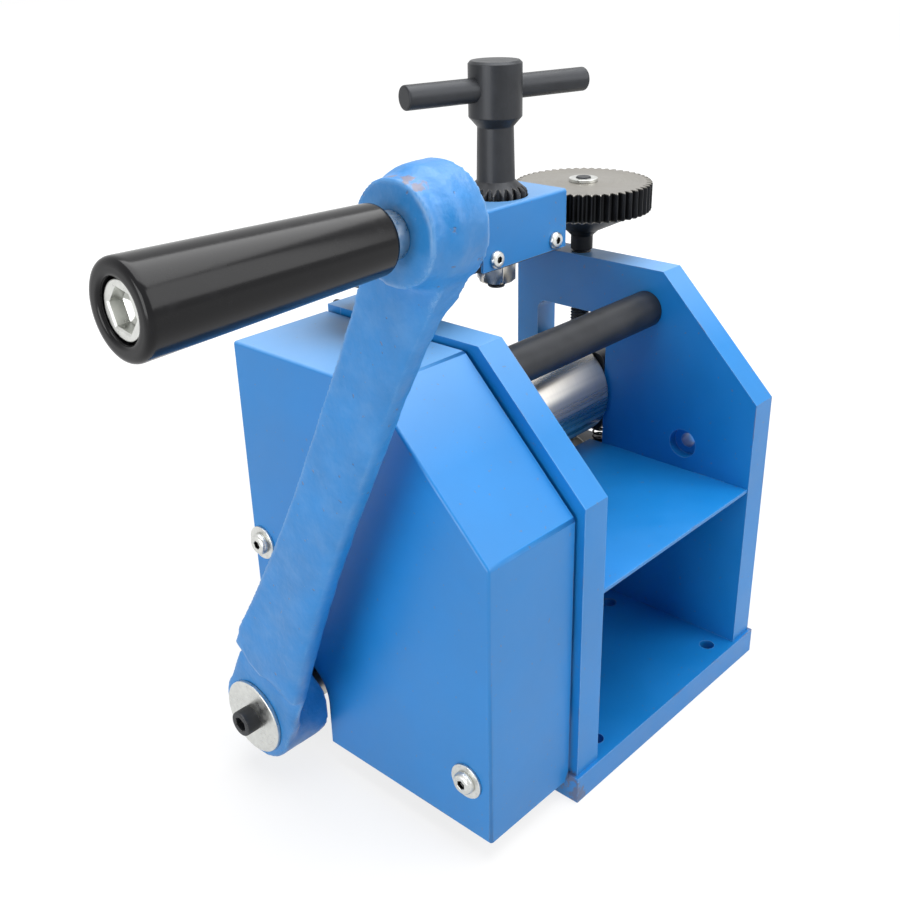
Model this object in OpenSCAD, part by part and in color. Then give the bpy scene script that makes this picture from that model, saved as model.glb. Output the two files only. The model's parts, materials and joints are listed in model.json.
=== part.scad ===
// Hand-cranked rolling mill for a jeweller's bench. Two hardened rollers run between a pair
// of side plates. A geared crank turns them, and a T-handle sets the gap between them
// through a train of spur gears and two adjusting screws.
// Origin at the centre of the base's underside. +X runs along the rollers from the crank
// side to the far side, +Y from the feed side to the back, +Z up. Lengths are millimetres.

/* [Rollers] */
// Diameter of the rollers' working faces
roller_d = 50; // [48:0.5:52]
// Length of the rollers' working faces
roller_l = 110; // [96:1:124]
// End play between a roller and a side plate
roller_play = 1.5; // [1:0.1:2.5]
// Opening between the rollers at rest
roller_gap = 0.6; // [0.4:0.1:2]
// Height of the lower roller's top above the bench
pass_z = 97; // [94:0.5:104]
// Diameter of the rollers' journals
journal_d = 24; // [20:0.5:26]
// Diameter of the rollers' gear seats
seat_d = 20; // [16:0.5:20]
// Bevel on the rollers' edges
roller_edge = 0.8; // [0.4:0.1:1.5]
// Reach of a journal past the far side plate
journal_reach = 2; // [1:0.5:5]

/* [Side plates] */
// Thickness of a side plate
plate_t = 14; // [13:0.5:18]
// Height of the side plates' tops above the bench
plate_top = 190; // [186:1:200]
// Depth of a side plate from feed side to back
plate_d = 137; // [132:1:150]
// Leg of the 45 degree cut at the top front corner
plate_bevel = 52; // [40:1:56]
// Distance from the roller axes to the plates' back edge
roller_inset = 34; // [31:0.5:37]
// Width of the bearing window
window_w = 42; // [38:0.5:44]
// Corner radius of the bearing window
window_r = 5; // [3:0.5:7]
// Free height above the upper bearing block
window_headroom = 20; // [14:0.5:22]
// Diameter of the spare counterbored hole
spare_d = 7; // [5:0.5:8]
// Diameter of its counterbore
spare_bore_d = 14; // [11:0.5:16]
// Depth of its counterbore
spare_bore_h = 5; // [3:0.5:8]
// Distance of that hole from the plate's front edge
spare_inset = 36; // [30:1:40]
// Height of that hole above the table
spare_rise = 13; // [11:0.5:18]

/* [Base plate] */
// Thickness of the base plate
base_t = 12.5; // [10:0.5:15]
// Reach of the base past the side plates all round
base_lip = 1.6; // [1:0.1:3]
// Diameter of the four holes for the bench bolts
bench_hole_d = 7; // [5:0.5:9]
// Spacing of the bench bolts along the rollers
bench_span_x = 92; // [70:1:94]
// Spacing of the bench bolts from front to back
bench_span_y = 58; // [40:1:66]
// Distance of the front bench bolts from the base's front edge
bench_inset = 10; // [8:0.5:14]
// Thread of the screws that hold the side plates down
foot_screw_d = 6; // [5:0.5:7]
// Length of those screws under the head
foot_screw_l = 16; // [12:1:18]
// Distance of those screws from the plates' edges
foot_inset = 8; // [7:0.5:9]

/* [Tie bar and table] */
// Diameter of the front tie bar
tie_d = 17; // [12:0.5:20]
// Distance of the tie bar from the plates' front edge
tie_inset = 60; // [56:1:62]
// Distance of the tie bar below the plates' tops
tie_drop = 19; // [16:0.5:24]
// Thread of the tie bar's end screws
tie_screw_d = 8; // [6:0.5:9]
// Length of those screws under the head
tie_screw_l = 30; // [24:1:34]
// Thickness of the work table
table_t = 1.7; // [1.2:0.1:3]
// Distance of the table's top below the pass line
table_drop = 0.8; // [0.4:0.1:2]
// Distance of the table's front edge behind the plates' front edges
table_inset = 0.5; // [0.2:0.1:3]
// Gap between the table's back edge and the lower roller
table_gap = 2.6; // [1:0.1:5]
// Length of the table's tabs
tab_l = 16; // [8:1:20]
// Depth of the table's tabs in the side plates
tab_h = 5; // [3:0.5:7]
// Distance of the tabs from the table's ends
tab_inset = 12; // [6:1:16]

/* [Bearings] */
// Height of a bearing block
block_h = 41; // [36:0.5:42]
// Reach of a bearing block past each face of its plate
block_proud = 0.4; // [0.2:0.1:0.6]
// Sliding play between a block and its window on each side
block_play = 0.1; // [0.05:0.01:0.2]
// Wall of the journal bushes
bush_wall = 3; // [2:0.5:3.5]
// Outer diameter of the lift springs
spring_d = 6; // [5:0.25:6.5]
// Wire of the lift springs
spring_wire = 1; // [0.8:0.05:1.1]
// Curls of a lift spring
spring_curls = 4; // [3:1:5]
// Depth of a spring's pocket in each block
pocket_h = 2; // [1:0.25:3]
// Distance of the springs from the roller axis
spring_offset = 13.5; // [12:0.25:15]
// Thickness of the thrust pads
pad_t = 3; // [2:0.5:4]
// Diameter of the thrust pads
pad_d = 13; // [10:0.5:14]

/* [Adjusting train] */
// Outer diameter of the adjusting screws
screw_d = 9.4; // [8:0.2:10]
// Teeth of an adjusting gear
screw_teeth = 50; // [46:2:54]
// Teeth of an idler gear
idler_teeth = 16; // [15:1:18]
// Teeth of the T-handle's pinion
pinion_teeth = 20; // [18:2:20]
// Face width of an adjusting gear
screw_gear_w = 13; // [10:0.5:15]
// Height of the adjusting gears' teeth above the plates' tops
screw_gear_rise = 20.5; // [19.5:0.5:24]
// Height of the cone under an adjusting gear
cone_h = 9.9; // [7:0.1:11]
// Diameter of the cone's lower end
cone_d = 16; // [14:0.5:20]
// Diameter of the collar below the cone
collar_d = 10.6; // [10.4:0.2:12]
// Gap between that collar and the plate's top at rest
collar_gap = 1.4; // [1:0.2:3]
// Diameter of the washer on top of an adjusting gear
gear_washer_d = 13.6; // [11:0.2:16]
// Thickness of that washer
gear_washer_t = 1.6; // [0.8:0.1:2]
// Diameter of the adjusting screws' upper ends, inside those washers
screw_tip_d = 7; // [5:0.5:7.5]
// Height of those ends above the washers
screw_tip_rise = 0.6; // [0.2:0.2:2]
// Face width of an idler gear
idler_w = 12; // [9:0.5:13]
// Diameter of the idler pins
idler_pin_d = 7; // [5:0.5:8]

/* [T-handle] */
// Height of the column between the pinion and the cone under the head
column_h = 22.4; // [18:0.2:40]
// Diameter of the T-handle's head
head_d = 22.8; // [19:0.2:26]
// Height of the head
head_h = 22.5; // [18:0.5:28]
// Height of the cone between head and column
neck_h = 4; // [2:0.5:7]
// Diameter of the column under the head
column_top_d = 15.6; // [13:0.2:16]
// Diameter of the column above the pinion
column_foot_d = 16.6; // [15.8:0.2:18.5]
// Height of the pinion's bevelled top above the shroud
pinion_rise = 6.5; // [4:0.5:9]
// Height of the bevel that runs out the pinion's teeth
pinion_bevel = 4.5; // [3:0.5:6]
// Diameter of the cross bar
bar_d = 10; // [8:0.5:12]
// Length of the cross bar
bar_l = 90; // [80:1:110]
// Distance of the cross bar's middle from the spindle's axis
bar_slide = 1.2; // [0:0.2:4]
// Turn of the cross bar at rest, from +X towards the feed side
bar_turn = 15.4; // [0:0.2:90]
// Diameter of the spindle's journal
spindle_d = 14; // [12:0.5:15]
// Wall of the spindle's bush
spindle_bush_wall = 2; // [1.5:0.5:2.5]
// Thread of the spindle's lower stud
stud_d = 8.2; // [6:0.2:10]
// Width across flats of the spindle's nut
nut_af = 15; // [12:0.5:17]
// Height of that nut
nut_h = 9.5; // [6:0.5:11]
// Thickness of the washer above it
nut_washer_t = 1.4; // [1:0.1:2]
// Reach of the stud below the nut
stud_reach = 2.8; // [1:0.2:5]

/* [Shroud and bridge] */
// Length of the shroud over the idler gears
shroud_l = 56; // [46:1:58]
// Depth of the shroud from front to back
shroud_d = 34; // [31:0.5:36]
// Sheet thickness of the shroud
shroud_t = 1.5; // [1:0.1:2]
// Height of the shroud's lower edge above the plates' tops
shroud_rise = 12.4; // [10:0.2:13]
// Height of the shroud
shroud_h = 25.8; // [25:0.2:30]
// Reach of the carrier block below the shroud
carrier_reach = 1; // [0.5:0.1:2]
// Height of the carrier block
carrier_h = 10; // [8.5:0.5:10.5]
// Thread of the shroud's screws
shroud_screw_d = 4; // [3:0.5:5]
// Length of those screws under the head
shroud_screw_l = 9.5; // [7:0.5:10]
// Spacing of the shroud's screws
shroud_screw_span = 40; // [34:1:44]
// Height of the shroud's screws above its lower edge
shroud_screw_rise = 4.4; // [4:0.1:5]
// Depth of the bridge's bar from front to back
bridge_d = 8; // [6:0.5:9]
// Height of the bridge's bar, sunk into the side plates
bridge_h = 5.2; // [5:0.1:8]
// Thickness of the foot that reaches forward from the bar
bridge_foot_t = 8; // [6:0.5:10]
// Thickness of the bridge's upstand
upstand_t = 7; // [5:0.5:8]
// Height of the upstand above the foot
upstand_h = 13; // [11:0.5:16]
// Thread of the screws that hold the bridge to the plates
bridge_screw_d = 3; // [2.5:0.5:3]
// Length of those screws under the head
bridge_screw_l = 18; // [12:1:24]
// Thread of the screws that hold the carrier block to the bridge
carrier_screw_d = 5; // [4:0.5:5]

/* [Gear cover] */
// Depth of the cover from its face to its open edge
cover_d = 48.9; // [46:0.1:55]
// Sheet thickness of the cover
cover_t = 1.5; // [1:0.1:2]
// Gap between the cover's open edge and the base plate's edge
cover_gap = 0.3; // [0.3:0.1:2]
// Distance of the cover's top below the plates' tops
cover_drop = 2.5; // [1:0.1:6]
// Distance of the cover's front behind the plates' front edge
cover_inset = 3.3; // [1:0.1:6]
// Distance of the cover's back inside the plates' back edge
cover_back_inset = 0.3; // [0:0.1:2]
// Distance of the cover's slope inside the plates' slope
cover_slope_inset = 5.4; // [2:0.1:8]
// Distance of the cover's lower edge below the base's top
cover_sink = 2; // [0:0.1:4]
// Width of the slot that lets the cover pass over the crank hub
cover_slot_w = 36; // [30:0.5:38]
// Thread of the cover's screws
cover_screw_d = 5; // [4:0.5:6]
// Length of those screws under the head
cover_screw_l = 12; // [8:1:16]
// Diameter of their washers
cover_washer_d = 14.8; // [12:0.2:16]
// Thickness of their washers
cover_washer_t = 1.2; // [0.8:0.1:2]
// Distance of the rear screw from the cover's back
rear_screw_inset = 6.3; // [6:0.1:8]
// Height of the rear screw above the bench
rear_screw_z = 98.4; // [97:0.2:102]
// Distance of the front screw from the cover's front
front_screw_inset = 12.1; // [8:0.1:20]
// Height of the front screw above the bench
front_screw_z = 35.4; // [28:0.2:60]
// Diameter of the cover's standoffs
standoff_d = 8; // [7:0.5:9]

/* [Roller gears] */
// Teeth of each roller gear
roller_teeth = 17; // [16:1:18]
// Face width of a roller gear
roller_gear_w = 14; // [10:0.5:15]
// Teeth of the reduction gear
reduction_teeth = 40; // [38:1:41]
// Teeth of the drive pinion
drive_teeth = 16; // [15:1:18]
// Face width of the reduction gear
reduction_w = 12; // [9:0.5:13]
// Space between neighbouring gears on a shaft
gear_space = 2; // [1:0.5:3]
// Thread of the screws in the rollers' ends
end_screw_d = 6; // [5:0.5:7]
// Length of those screws under the head
end_screw_l = 16; // [12:1:20]
// Diameter of the rollers' end washers
end_washer_d = 25; // [22:0.5:26]
// Thickness of the rollers' end washers
end_washer_t = 2; // [1:0.5:3]

/* [Crank] */
// Distance from the crank's axis to the plates' back edge
crank_inset = 23.5; // [23:0.5:26]
// Height of the crank's axis above the bench
crank_z = 31; // [29:0.5:33]
// Diameter of the crank shaft
crank_d = 16; // [14:0.5:17]
// Wall of the crank shaft's bushes
crank_bush_wall = 3; // [2:0.5:3.5]
// Distance between the axes of crank shaft and grip
crank_throw = 255; // [215:1:280]
// Lean of the crank at rest, from upright towards the feed side
crank_lean = 26.4; // [0:0.2:60]
// Gap between the cover's face and the crank's hub
hub_gap = 2.7; // [2:0.1:5]
// Length of the crank's hub
hub_l = 23; // [20:0.5:28]
// Radius of the crank's hub
hub_r = 20.3; // [18:0.1:24]
// Thickness of the crank arm
arm_t = 11; // [8:0.5:14]
// Height of the arm's raised face above the hub's end
arm_step = 6.4; // [4:0.2:7]
// Distance from the crank's axis to the raised face
arm_start = 34; // [30:1:40]
// Half width of the arm at the crank's axis
arm_foot_w = 19.7; // [15:0.1:19.8]
// Half width of the arm where the raised face starts
arm_low_w = 20; // [15:0.1:20.2]
// Half width of the arm at its waist
arm_waist_w = 12.5; // [10:0.1:14]
// Half width of the arm where it meets the grip's boss
arm_top_w = 16; // [13:0.1:17]
// Radius of the grip's boss
boss_r = 17.4; // [16:0.1:20]
// Radius of the boss's front face
boss_face_r = 15.2; // [12:0.1:15.5]
// Height of the boss's front above the arm's face
boss_h = 9.2; // [4:0.2:12]
// Diameter of the washer on the crank's hub
crank_washer_d = 33; // [26:0.5:36]
// Thickness of that washer
crank_washer_t = 2; // [1.5:0.1:3]
// Thread of the crank's end screw
crank_screw_d = 7; // [5:0.5:8]
// Length of that screw under the head
crank_screw_l = 20; // [14:1:26]
// Width of the crank's key
key_w = 5; // [4:0.5:6]
// Diameter of the collar that locates the crank shaft
stop_collar_d = 24; // [22:0.5:26]
// Width of that collar
stop_collar_w = 7; // [5:0.5:9]

/* [Grip] */
// Length of the grip
grip_l = 78; // [70:1:110]
// Diameter of the grip at its outer end
grip_d = 24.6; // [22:0.2:32]
// Diameter of the grip at the crank
grip_inner_d = 19.6; // [19:0.2:28]
// Bevel on the grip's ends
grip_edge = 1.6; // [1:0.1:2.5]
// Diameter of the recess for the bolt's head
recess_d = 15.4; // [15:0.2:18]
// Depth of that recess
recess_h = 9; // [8.5:0.5:14]
// Diameter of the handle bolt
handle_bolt_d = 10; // [8:0.5:11]
// Diameter of the handle bolt's head
handle_head_d = 14.4; // [12.6:0.2:15]
// Height of the handle bolt's head
handle_head_h = 7.5; // [5:0.5:9]
// Diameter of the spacer between boss and grip
spacer_d = 13.4; // [12.6:0.2:20]
// Thickness of that spacer
spacer_t = 6; // [2:0.5:8]

/* [Gear teeth] */
// Pressure angle of all gears
pressure_angle = 25; // [22:0.5:26]
// Backlash of the adjusting train and the drive
tooth_play = 0.2; // [0.12:0.02:0.3]
// Backlash of the roller gears when the rollers are closed
roller_tooth_play = 0.4; // [0.3:0.02:0.6]

/* [Hidden] */
$fn = 96;
// Radial clearance of a running fit and of a fixed one, the gap that keeps moving pieces
// apart, and the overrun of cuts
run_fit = 0.08;
fit = 0.03;
clear = 0.3;
over = 1;

// Proportions of screws as shares of their thread
cap_head_share = 1.6;
cap_height_share = 0.95;
button_head_share = 1.9;
button_height_share = 0.55;
socket_share = 0.85;
button_socket_share = 0.65;
socket_depth_share = 0.5;
head_bevel_share = 0.1;

// Proportions of teeth as shares of the module
addendum_share = 1;
dedendum_share = 1.25;
roller_addendum_share = 1.1;
roller_dedendum_share = 1.23;

// Where the rollers' and the arm's curves change, as shares of their lengths
arm_waist_share = 0.6;
arm_flare_share = 0.76;
arm_curve_steps = 14;

roller_r = roller_d / 2;
plate_in = roller_l / 2 + roller_play;
plate_out = plate_in + plate_t;
plate_mid = plate_in + plate_t / 2;
plate_front = -plate_d / 2;
plate_back = plate_d / 2;
axis_y = plate_back - roller_inset;
low_z = pass_z - roller_r;
high_z = pass_z + roller_gap + roller_r;
window_low = low_z - block_h / 2;
window_high = high_z + block_h / 2 + window_headroom;
base_w = 2 * (plate_out + base_lip);
base_d = plate_d + 2 * base_lip;
bench_y = -base_d / 2 + bench_inset + bench_span_y / 2;
foot_y = plate_back - foot_inset;
tie_y = plate_front + tie_inset;
tie_z = plate_top - tie_drop;
table_z = pass_z - table_drop;
table_front = plate_front + table_inset;
table_under = table_z - table_t - low_z;
table_back = axis_y - sqrt(pow(roller_r, 2) - pow(table_under, 2)) - table_gap;
spare_y = plate_front + spare_inset;
spare_z = table_z + spare_rise;

block_top = high_z + block_h / 2;
bush_r = journal_d / 2 + bush_wall;
spring_low = low_z + block_h / 2 - pocket_h;
spring_high = high_z - block_h / 2 + pocket_h;
spring_r = (spring_d - spring_wire) / 2;
screw_end = block_top + pad_t + clear;

gear_m = 2 * plate_mid / (pinion_teeth + 2 * idler_teeth + screw_teeth);
idler_x = gear_m * (pinion_teeth + idler_teeth) / 2;
screw_gear_z = plate_top + screw_gear_rise;
screw_gear_top = screw_gear_z + screw_gear_w;
screw_root_r = gear_m * (screw_teeth / 2 - dedendum_share);
// An idler with an even number of teeth turns a gap to the adjusting gear, an odd one a tooth
screw_gear_turn = idler_teeth % 2 * 180 / screw_teeth;

shroud_z = plate_top + shroud_rise;
shroud_top = shroud_z + shroud_h;
shroud_front = axis_y - shroud_d / 2;
shroud_back = axis_y + shroud_d / 2;
carrier_z = shroud_z - carrier_reach;
carrier_top = carrier_z + carrier_h;
carrier_l = shroud_l - 2 * shroud_t;
shroud_screw_z = shroud_z + shroud_screw_rise;
bridge_y = plate_back - bridge_d;
bridge_screw_z = plate_top - bridge_h / 2;
idler_z = carrier_top + clear;
pinion_tip_r = gear_m * (pinion_teeth / 2 + addendum_share);
pinion_top = shroud_top + pinion_rise;
head_z = pinion_top + column_h + neck_h;
handle_top = head_z + head_h;
bar_z = head_z + head_h / 2;
nut_z = carrier_z - clear - nut_washer_t - nut_h;

cover_open = -base_w / 2 - cover_gap;
cover_x = cover_open - cover_d;
cover_front = plate_front + cover_inset;
cover_back = plate_back - cover_back_inset;
cover_top = plate_top - cover_drop;
cover_low = base_t - cover_sink;
// Height over depth of the cover's slope: the line where z - y has this value
cover_slope = plate_top - plate_front - plate_bevel - cover_slope_inset * sqrt(2);
rear_screw_y = cover_back - rear_screw_inset;
front_screw_y = cover_front + front_screw_inset;

crank_y = plate_back - crank_inset;
drive_span = norm([axis_y - crank_y, low_z - crank_z]);
drive_m = 2 * drive_span / (reduction_teeth + drive_teeth);
drive_angle = atan2(low_z - crank_z, axis_y - crank_y);
roller_gear_x = -plate_out - block_proud - gear_space;
reduction_x = roller_gear_x - roller_gear_w - gear_space;
low_end_x = reduction_x - reduction_w;
high_end_x = roller_gear_x - roller_gear_w;
// The roller gears' pitch suits closed rollers, and their long teeth reach the widest gap
roller_m = (roller_d + clear) / roller_teeth;

hub_back = cover_x - hub_gap;
hub_front = hub_back - hub_l;
arm_front = hub_front - arm_step;
arm_back = arm_front + arm_t;
boss_front = arm_front - boss_h;
crank_angle = 90 + crank_lean;
grip_x = boss_front - spacer_t - clear;
grip_end = grip_x - grip_l;
handle_head_x = grip_end + recess_h - clear;

// Finishes

module blue_paint() color([0.29, 0.55, 0.83]) children();
module black_oxide() color([0.16, 0.17, 0.18]) children();
module bright_steel() color([0.72, 0.72, 0.71]) children();
module zinc() color([0.82, 0.82, 0.8]) children();
module bronze() color([0.72, 0.53, 0.28]) children();
module black_plastic() color([0.09, 0.09, 0.1]) children();

// Placing and basic shapes

// Extrudes an outline, drawn with Y across and Z up, along X from x over the length t
module across(x, t) translate([x, 0, 0]) rotate([90, 0, 90]) linear_extrude(t) children();

// A cylinder along X that starts at x, on the axis y, z
module rod_x(x, y, z, d, l) translate([x, y, z]) rotate([0, 90, 0]) cylinder(d = d, h = l);

// A cylinder along Y that starts at y, on the axis x, z
module rod_y(x, y, z, d, l) translate([x, y, z]) rotate([-90, 0, 0]) cylinder(d = d, h = l);

// A cylinder along Z that starts at z
module rod_z(x, y, z, d, l) translate([x, y, z]) cylinder(d = d, h = l);

// Rectangle with round corners, from [a, b] to [c, d]
module round_rect(a, b, c, d, r) {
    translate([a + r, b]) square([c - a - 2 * r, d - b]);
    translate([a, b + r]) square([c - a, d - b - 2 * r]);
    for (p = [a + r, c - r], q = [b + r, d - r]) translate([p, q]) circle(r);
}

// A copy for each end of the mill: 1 is the far side, -1 the near side
module both_ends() for (side = [-1, 1]) scale_side(side) children();
module scale_side(side) if (side < 0) mirror([1, 0, 0]) children(); else children();

// Screws: the head stands up from z = 0 and the shank hangs below it

module cap_screw(d, l, head_share = cap_head_share, height_share = cap_height_share,
                 key_share = socket_share) {
    head = d * head_share;
    high = d * height_share;
    bevel = d * head_bevel_share;
    difference() {
        rotate_extrude() polygon([
            [0, -l], [d / 2 - bevel, -l], [d / 2, -l + bevel], [d / 2, 0],
            [head / 2, 0], [head / 2, high - bevel], [head / 2 - bevel, high], [0, high]
        ]);
        translate([0, 0, high * (1 - socket_depth_share)])
            cylinder(d = d * key_share / cos(30), h = high, $fn = 6);
    }
}

module button_screw(d, l)
    cap_screw(d, l, button_head_share, button_height_share, button_socket_share);

module ring(outer, inner, h) difference() {
    cylinder(d = outer, h = h);
    translate([0, 0, -over]) cylinder(d = inner, h = h + 2 * over);
}

// Gears

// Roll angle in degrees of an involute on base radius rb at radius r
function roll(r, rb) = r <= rb ? 0 : tan(acos(rb / r)) * 180 / PI - acos(rb / r);

// Half the angle of a tooth at radius r
function half_tooth(r, rp, rb, teeth, play) =
    90 / teeth - play / 2 / rp * 180 / PI + roll(rp, rb) - roll(r, rb);

// Outline of a spur gear with one tooth pointing along +X
function gear_outline(teeth, m, play, add, ded, steps = 3) =
    let (
        rp = m * teeth / 2,
        rb = rp * cos(pressure_angle),
        tip = rp + m * add,
        root = rp - m * ded,
        start = max(rb, root),
        radii = [for (i = [0:steps]) start + (tip - start) * i / steps],
        flank = concat([root], radii)
    )
    [
        for (k = [0:teeth - 1], side = [-1, 1], i = [0:len(flank) - 1])
            let (
                r = side < 0 ? flank[i] : flank[len(flank) - 1 - i],
                a = k * 360 / teeth + side * half_tooth(r, rp, rb, teeth, play)
            )
            r * [cos(a), sin(a)]
    ];

module train_gear(teeth, w)
    linear_extrude(w) polygon(gear_outline(teeth, gear_m, tooth_play, addendum_share,
                                           dedendum_share));

// A gear on an axis along X, turned so that a tooth points at the angle given
module gear_x(x, y, z, teeth, m, w, angle, play, add, ded)
    translate([0, y, z]) across(x - w, w) rotate(angle)
        polygon(gear_outline(teeth, m, play, add, ded, 5));

// Frame

module plate_outline() polygon([
    [plate_front, base_t], [plate_back, base_t], [plate_back, plate_top],
    [plate_front + plate_bevel, plate_top], [plate_front, plate_top - plate_bevel]
]);

module window_outline()
    round_rect(axis_y - window_w / 2, window_low, axis_y + window_w / 2, window_high, window_r);

module table_tabs(grow)
    for (y = [table_front + tab_inset, table_back - tab_inset - tab_l])
        translate([plate_in - over, y - grow, table_z - table_t - grow])
            cube([tab_h + over + grow, tab_l + 2 * grow, table_t + 2 * grow]);

module side_plate() difference() {
    across(plate_in, plate_t) difference() {
        plate_outline();
        window_outline();
    }
    rod_z(plate_mid, axis_y, window_high - over, screw_d + 2 * run_fit,
          plate_top - window_high + 2 * over);
    rod_x(plate_in - over, crank_y, crank_z, crank_d + 2 * crank_bush_wall,
          plate_t + 2 * over);
    rod_x(plate_in - over, tie_y, tie_z, tie_screw_d + 2 * fit, plate_t + 2 * over);
    rod_x(plate_in - over, spare_y, spare_z, spare_d, plate_t + 2 * over);
    rod_x(plate_in - over, spare_y, spare_z, spare_bore_d, spare_bore_h + over);
    for (y = [-foot_y, foot_y])
        rod_z(plate_mid, y, base_t - over, foot_screw_d + 2 * fit,
              foot_sink() + foot_screw_l - base_t + 2 * over);
    translate([plate_in - over, bridge_y - fit, plate_top - bridge_h - fit])
        cube([plate_t + 2 * over, bridge_d + over, bridge_h + over]);
    rod_y(plate_mid, plate_back - bridge_screw_l, bridge_screw_z, bridge_screw_d + 2 * fit,
          bridge_screw_l + over);
    table_tabs(fit);
}

module far_side_plate() blue_paint() side_plate();

module near_side_plate() blue_paint() difference() {
    mirror([1, 0, 0]) side_plate();
    for (p = standoff_places) rod_x(-plate_out - over, p[0], p[1], cover_screw_d + 2 * fit,
                                    stud_l + over);
}

// Stretch of a foot screw's shank that lies in the base, below the side plate
function foot_sink() = foot_screw_d * cap_height_share + clear;

module base_plate() blue_paint() difference() {
    translate([-base_w / 2, -base_d / 2, 0]) cube([base_w, base_d, base_t]);
    for (x = [-bench_span_x / 2, bench_span_x / 2], y = [-bench_span_y / 2, bench_span_y / 2])
        rod_z(x, bench_y + y, -over, bench_hole_d, base_t + 2 * over);
    for (x = [-plate_mid, plate_mid], y = [-foot_y, foot_y]) {
        rod_z(x, y, -over, foot_screw_d + 2 * fit, base_t + 2 * over);
        rod_z(x, y, -over, foot_screw_d * cap_head_share + 2 * clear, foot_sink() + over);
    }
}

module foot_screws() black_oxide()
    for (x = [-plate_mid, plate_mid], y = [-foot_y, foot_y])
        translate([x, y, foot_sink()]) rotate([180, 0, 0]) cap_screw(foot_screw_d, foot_screw_l);

module tie_bar() black_oxide() difference() {
    rod_x(-plate_in, tie_y, tie_z, tie_d, 2 * plate_in);
    both_ends() rod_x(plate_out - tie_screw_l, tie_y, tie_z, tie_screw_d + 2 * fit,
                      tie_screw_l);
}

module tie_screws() black_oxide() both_ends()
    translate([plate_out, tie_y, tie_z]) rotate([0, 90, 0]) cap_screw(tie_screw_d, tie_screw_l);

module work_table() blue_paint() {
    translate([-plate_in, table_front, table_z - table_t])
        cube([2 * plate_in, table_back - table_front, table_t]);
    both_ends() table_tabs(0);
}

// Bearings of the rollers

module bearing_block(z) difference() {
    across(plate_in - block_proud, plate_t + 2 * block_proud)
        round_rect(axis_y - window_w / 2 + block_play, z - block_h / 2,
                   axis_y + window_w / 2 - block_play, z + block_h / 2, window_r);
    rod_x(plate_in - over, axis_y, z, 2 * bush_r, plate_t + 2 * over);
}

module spring_pockets(z) for (y = [-spring_offset, spring_offset])
    rod_z(plate_mid, axis_y + y, z, spring_d + 2 * clear, pocket_h + over);

module lower_block() black_oxide() difference() {
    bearing_block(low_z);
    spring_pockets(spring_low);
}

module upper_block() black_oxide() difference() {
    bearing_block(high_z);
    spring_pockets(spring_high - pocket_h - over);
}

module far_lower_block() lower_block();
module near_lower_block() mirror([1, 0, 0]) lower_block();
module far_upper_block() upper_block();
module near_upper_block() mirror([1, 0, 0]) upper_block();

module journal_bushes(z) bronze() both_ends()
    translate([plate_in - block_proud, axis_y, z]) rotate([0, 90, 0])
        ring(2 * (bush_r - fit), journal_d + 2 * run_fit, plate_t + 2 * block_proud);

module lower_bushes() journal_bushes(low_z);
module upper_bushes() journal_bushes(high_z);

module thrust_pads() bright_steel() both_ends()
    rod_z(plate_mid, axis_y, block_top, pad_d, pad_t);

// Lift springs: one wire each, with straight ends that stand on the blocks

spring_sides = 6;
spring_rings = 8;
spring_bend = spring_wire;
spring_rise = (spring_high - spring_low - 2 * spring_bend - 2 * spring_wire) / spring_curls;

// Centres of the wire's rings, from the lower end up
spring_path = concat(
    [[spring_r, 0, spring_low]],
    [
        for (i = [0:spring_curls * spring_rings])
            let (a = i * 360 / spring_rings)
            [spring_r * cos(a), spring_r * sin(a),
             spring_low + spring_bend + spring_wire + spring_rise * i / spring_rings]
    ],
    [[spring_r, 0, spring_high]]
);

// Directions of the wire at its rings
function unit(v) = v / norm(v);
function spring_aim(i) = i == 0 || i == len(spring_path) - 1 ? [0, 0, 1]
    : unit(spring_path[i + 1] - spring_path[i - 1]);

function spring_ring(i) =
    let (
        p = spring_path[i],
        aim = spring_aim(i),
        side = unit(cross(aim, cross([p[0], p[1], 0], aim))),
        up = cross(aim, side)
    )
    [
        for (k = [0:spring_sides - 1])
            let (a = k * 360 / spring_sides)
            p + spring_wire / 2 * (cos(a) * side + sin(a) * up)
    ];

module lift_spring() {
    last = len(spring_path) - 1;
    points = [for (i = [0:last]) each spring_ring(i)];
    walls = [
        for (i = [0:last - 1], k = [0:spring_sides - 1])
            let (
                a = i * spring_sides + k,
                b = i * spring_sides + (k + 1) % spring_sides
            )
            each [[a, a + spring_sides, b], [b, a + spring_sides, b + spring_sides]]
    ];
    ends = [
        for (k = [1:spring_sides - 2])
            each [[0, k, k + 1], [for (j = [0, k + 1, k]) last * spring_sides + j]]
    ];
    polyhedron(points = points, faces = concat(walls, ends));
}

// Least gap between one curl and the next, measured from ring to ring
spring_gap = min([
    for (i = [1:len(spring_path) - spring_rings - 2])
        norm(spring_path[i + spring_rings] - spring_path[i])
]) - spring_wire;
echo(str("Least gap between a lift spring's curls: ", spring_gap, " mm"));

module lift_springs() bright_steel() both_ends()
    for (y = [-spring_offset, spring_offset])
        translate([plate_mid, axis_y + y, 0]) lift_spring();

// Rollers: one turned piece each, drawn as radius over distance along X

module turned_x(points, y, z)
    translate([0, y, z]) rotate([0, 90, 0]) rotate_extrude() polygon(points);

module roller(z, end_x) bright_steel() difference() {
    half = roller_l / 2;
    seat = roller_gear_x;
    turned_x([
        [0, end_x], [seat_d / 2, end_x], [seat_d / 2, seat], [journal_d / 2, seat],
        [journal_d / 2, -half], [roller_r - roller_edge, -half],
        [roller_r, -half + roller_edge], [roller_r, half - roller_edge],
        [roller_r - roller_edge, half], [journal_d / 2, half],
        [journal_d / 2, plate_out + journal_reach], [0, plate_out + journal_reach]
    ], axis_y, z);
    rod_x(end_x - over, axis_y, z, end_screw_d + 2 * fit, end_screw_l + over);
}

module lower_roller() roller(low_z, low_end_x);
module upper_roller() roller(high_z, high_end_x);

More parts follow.
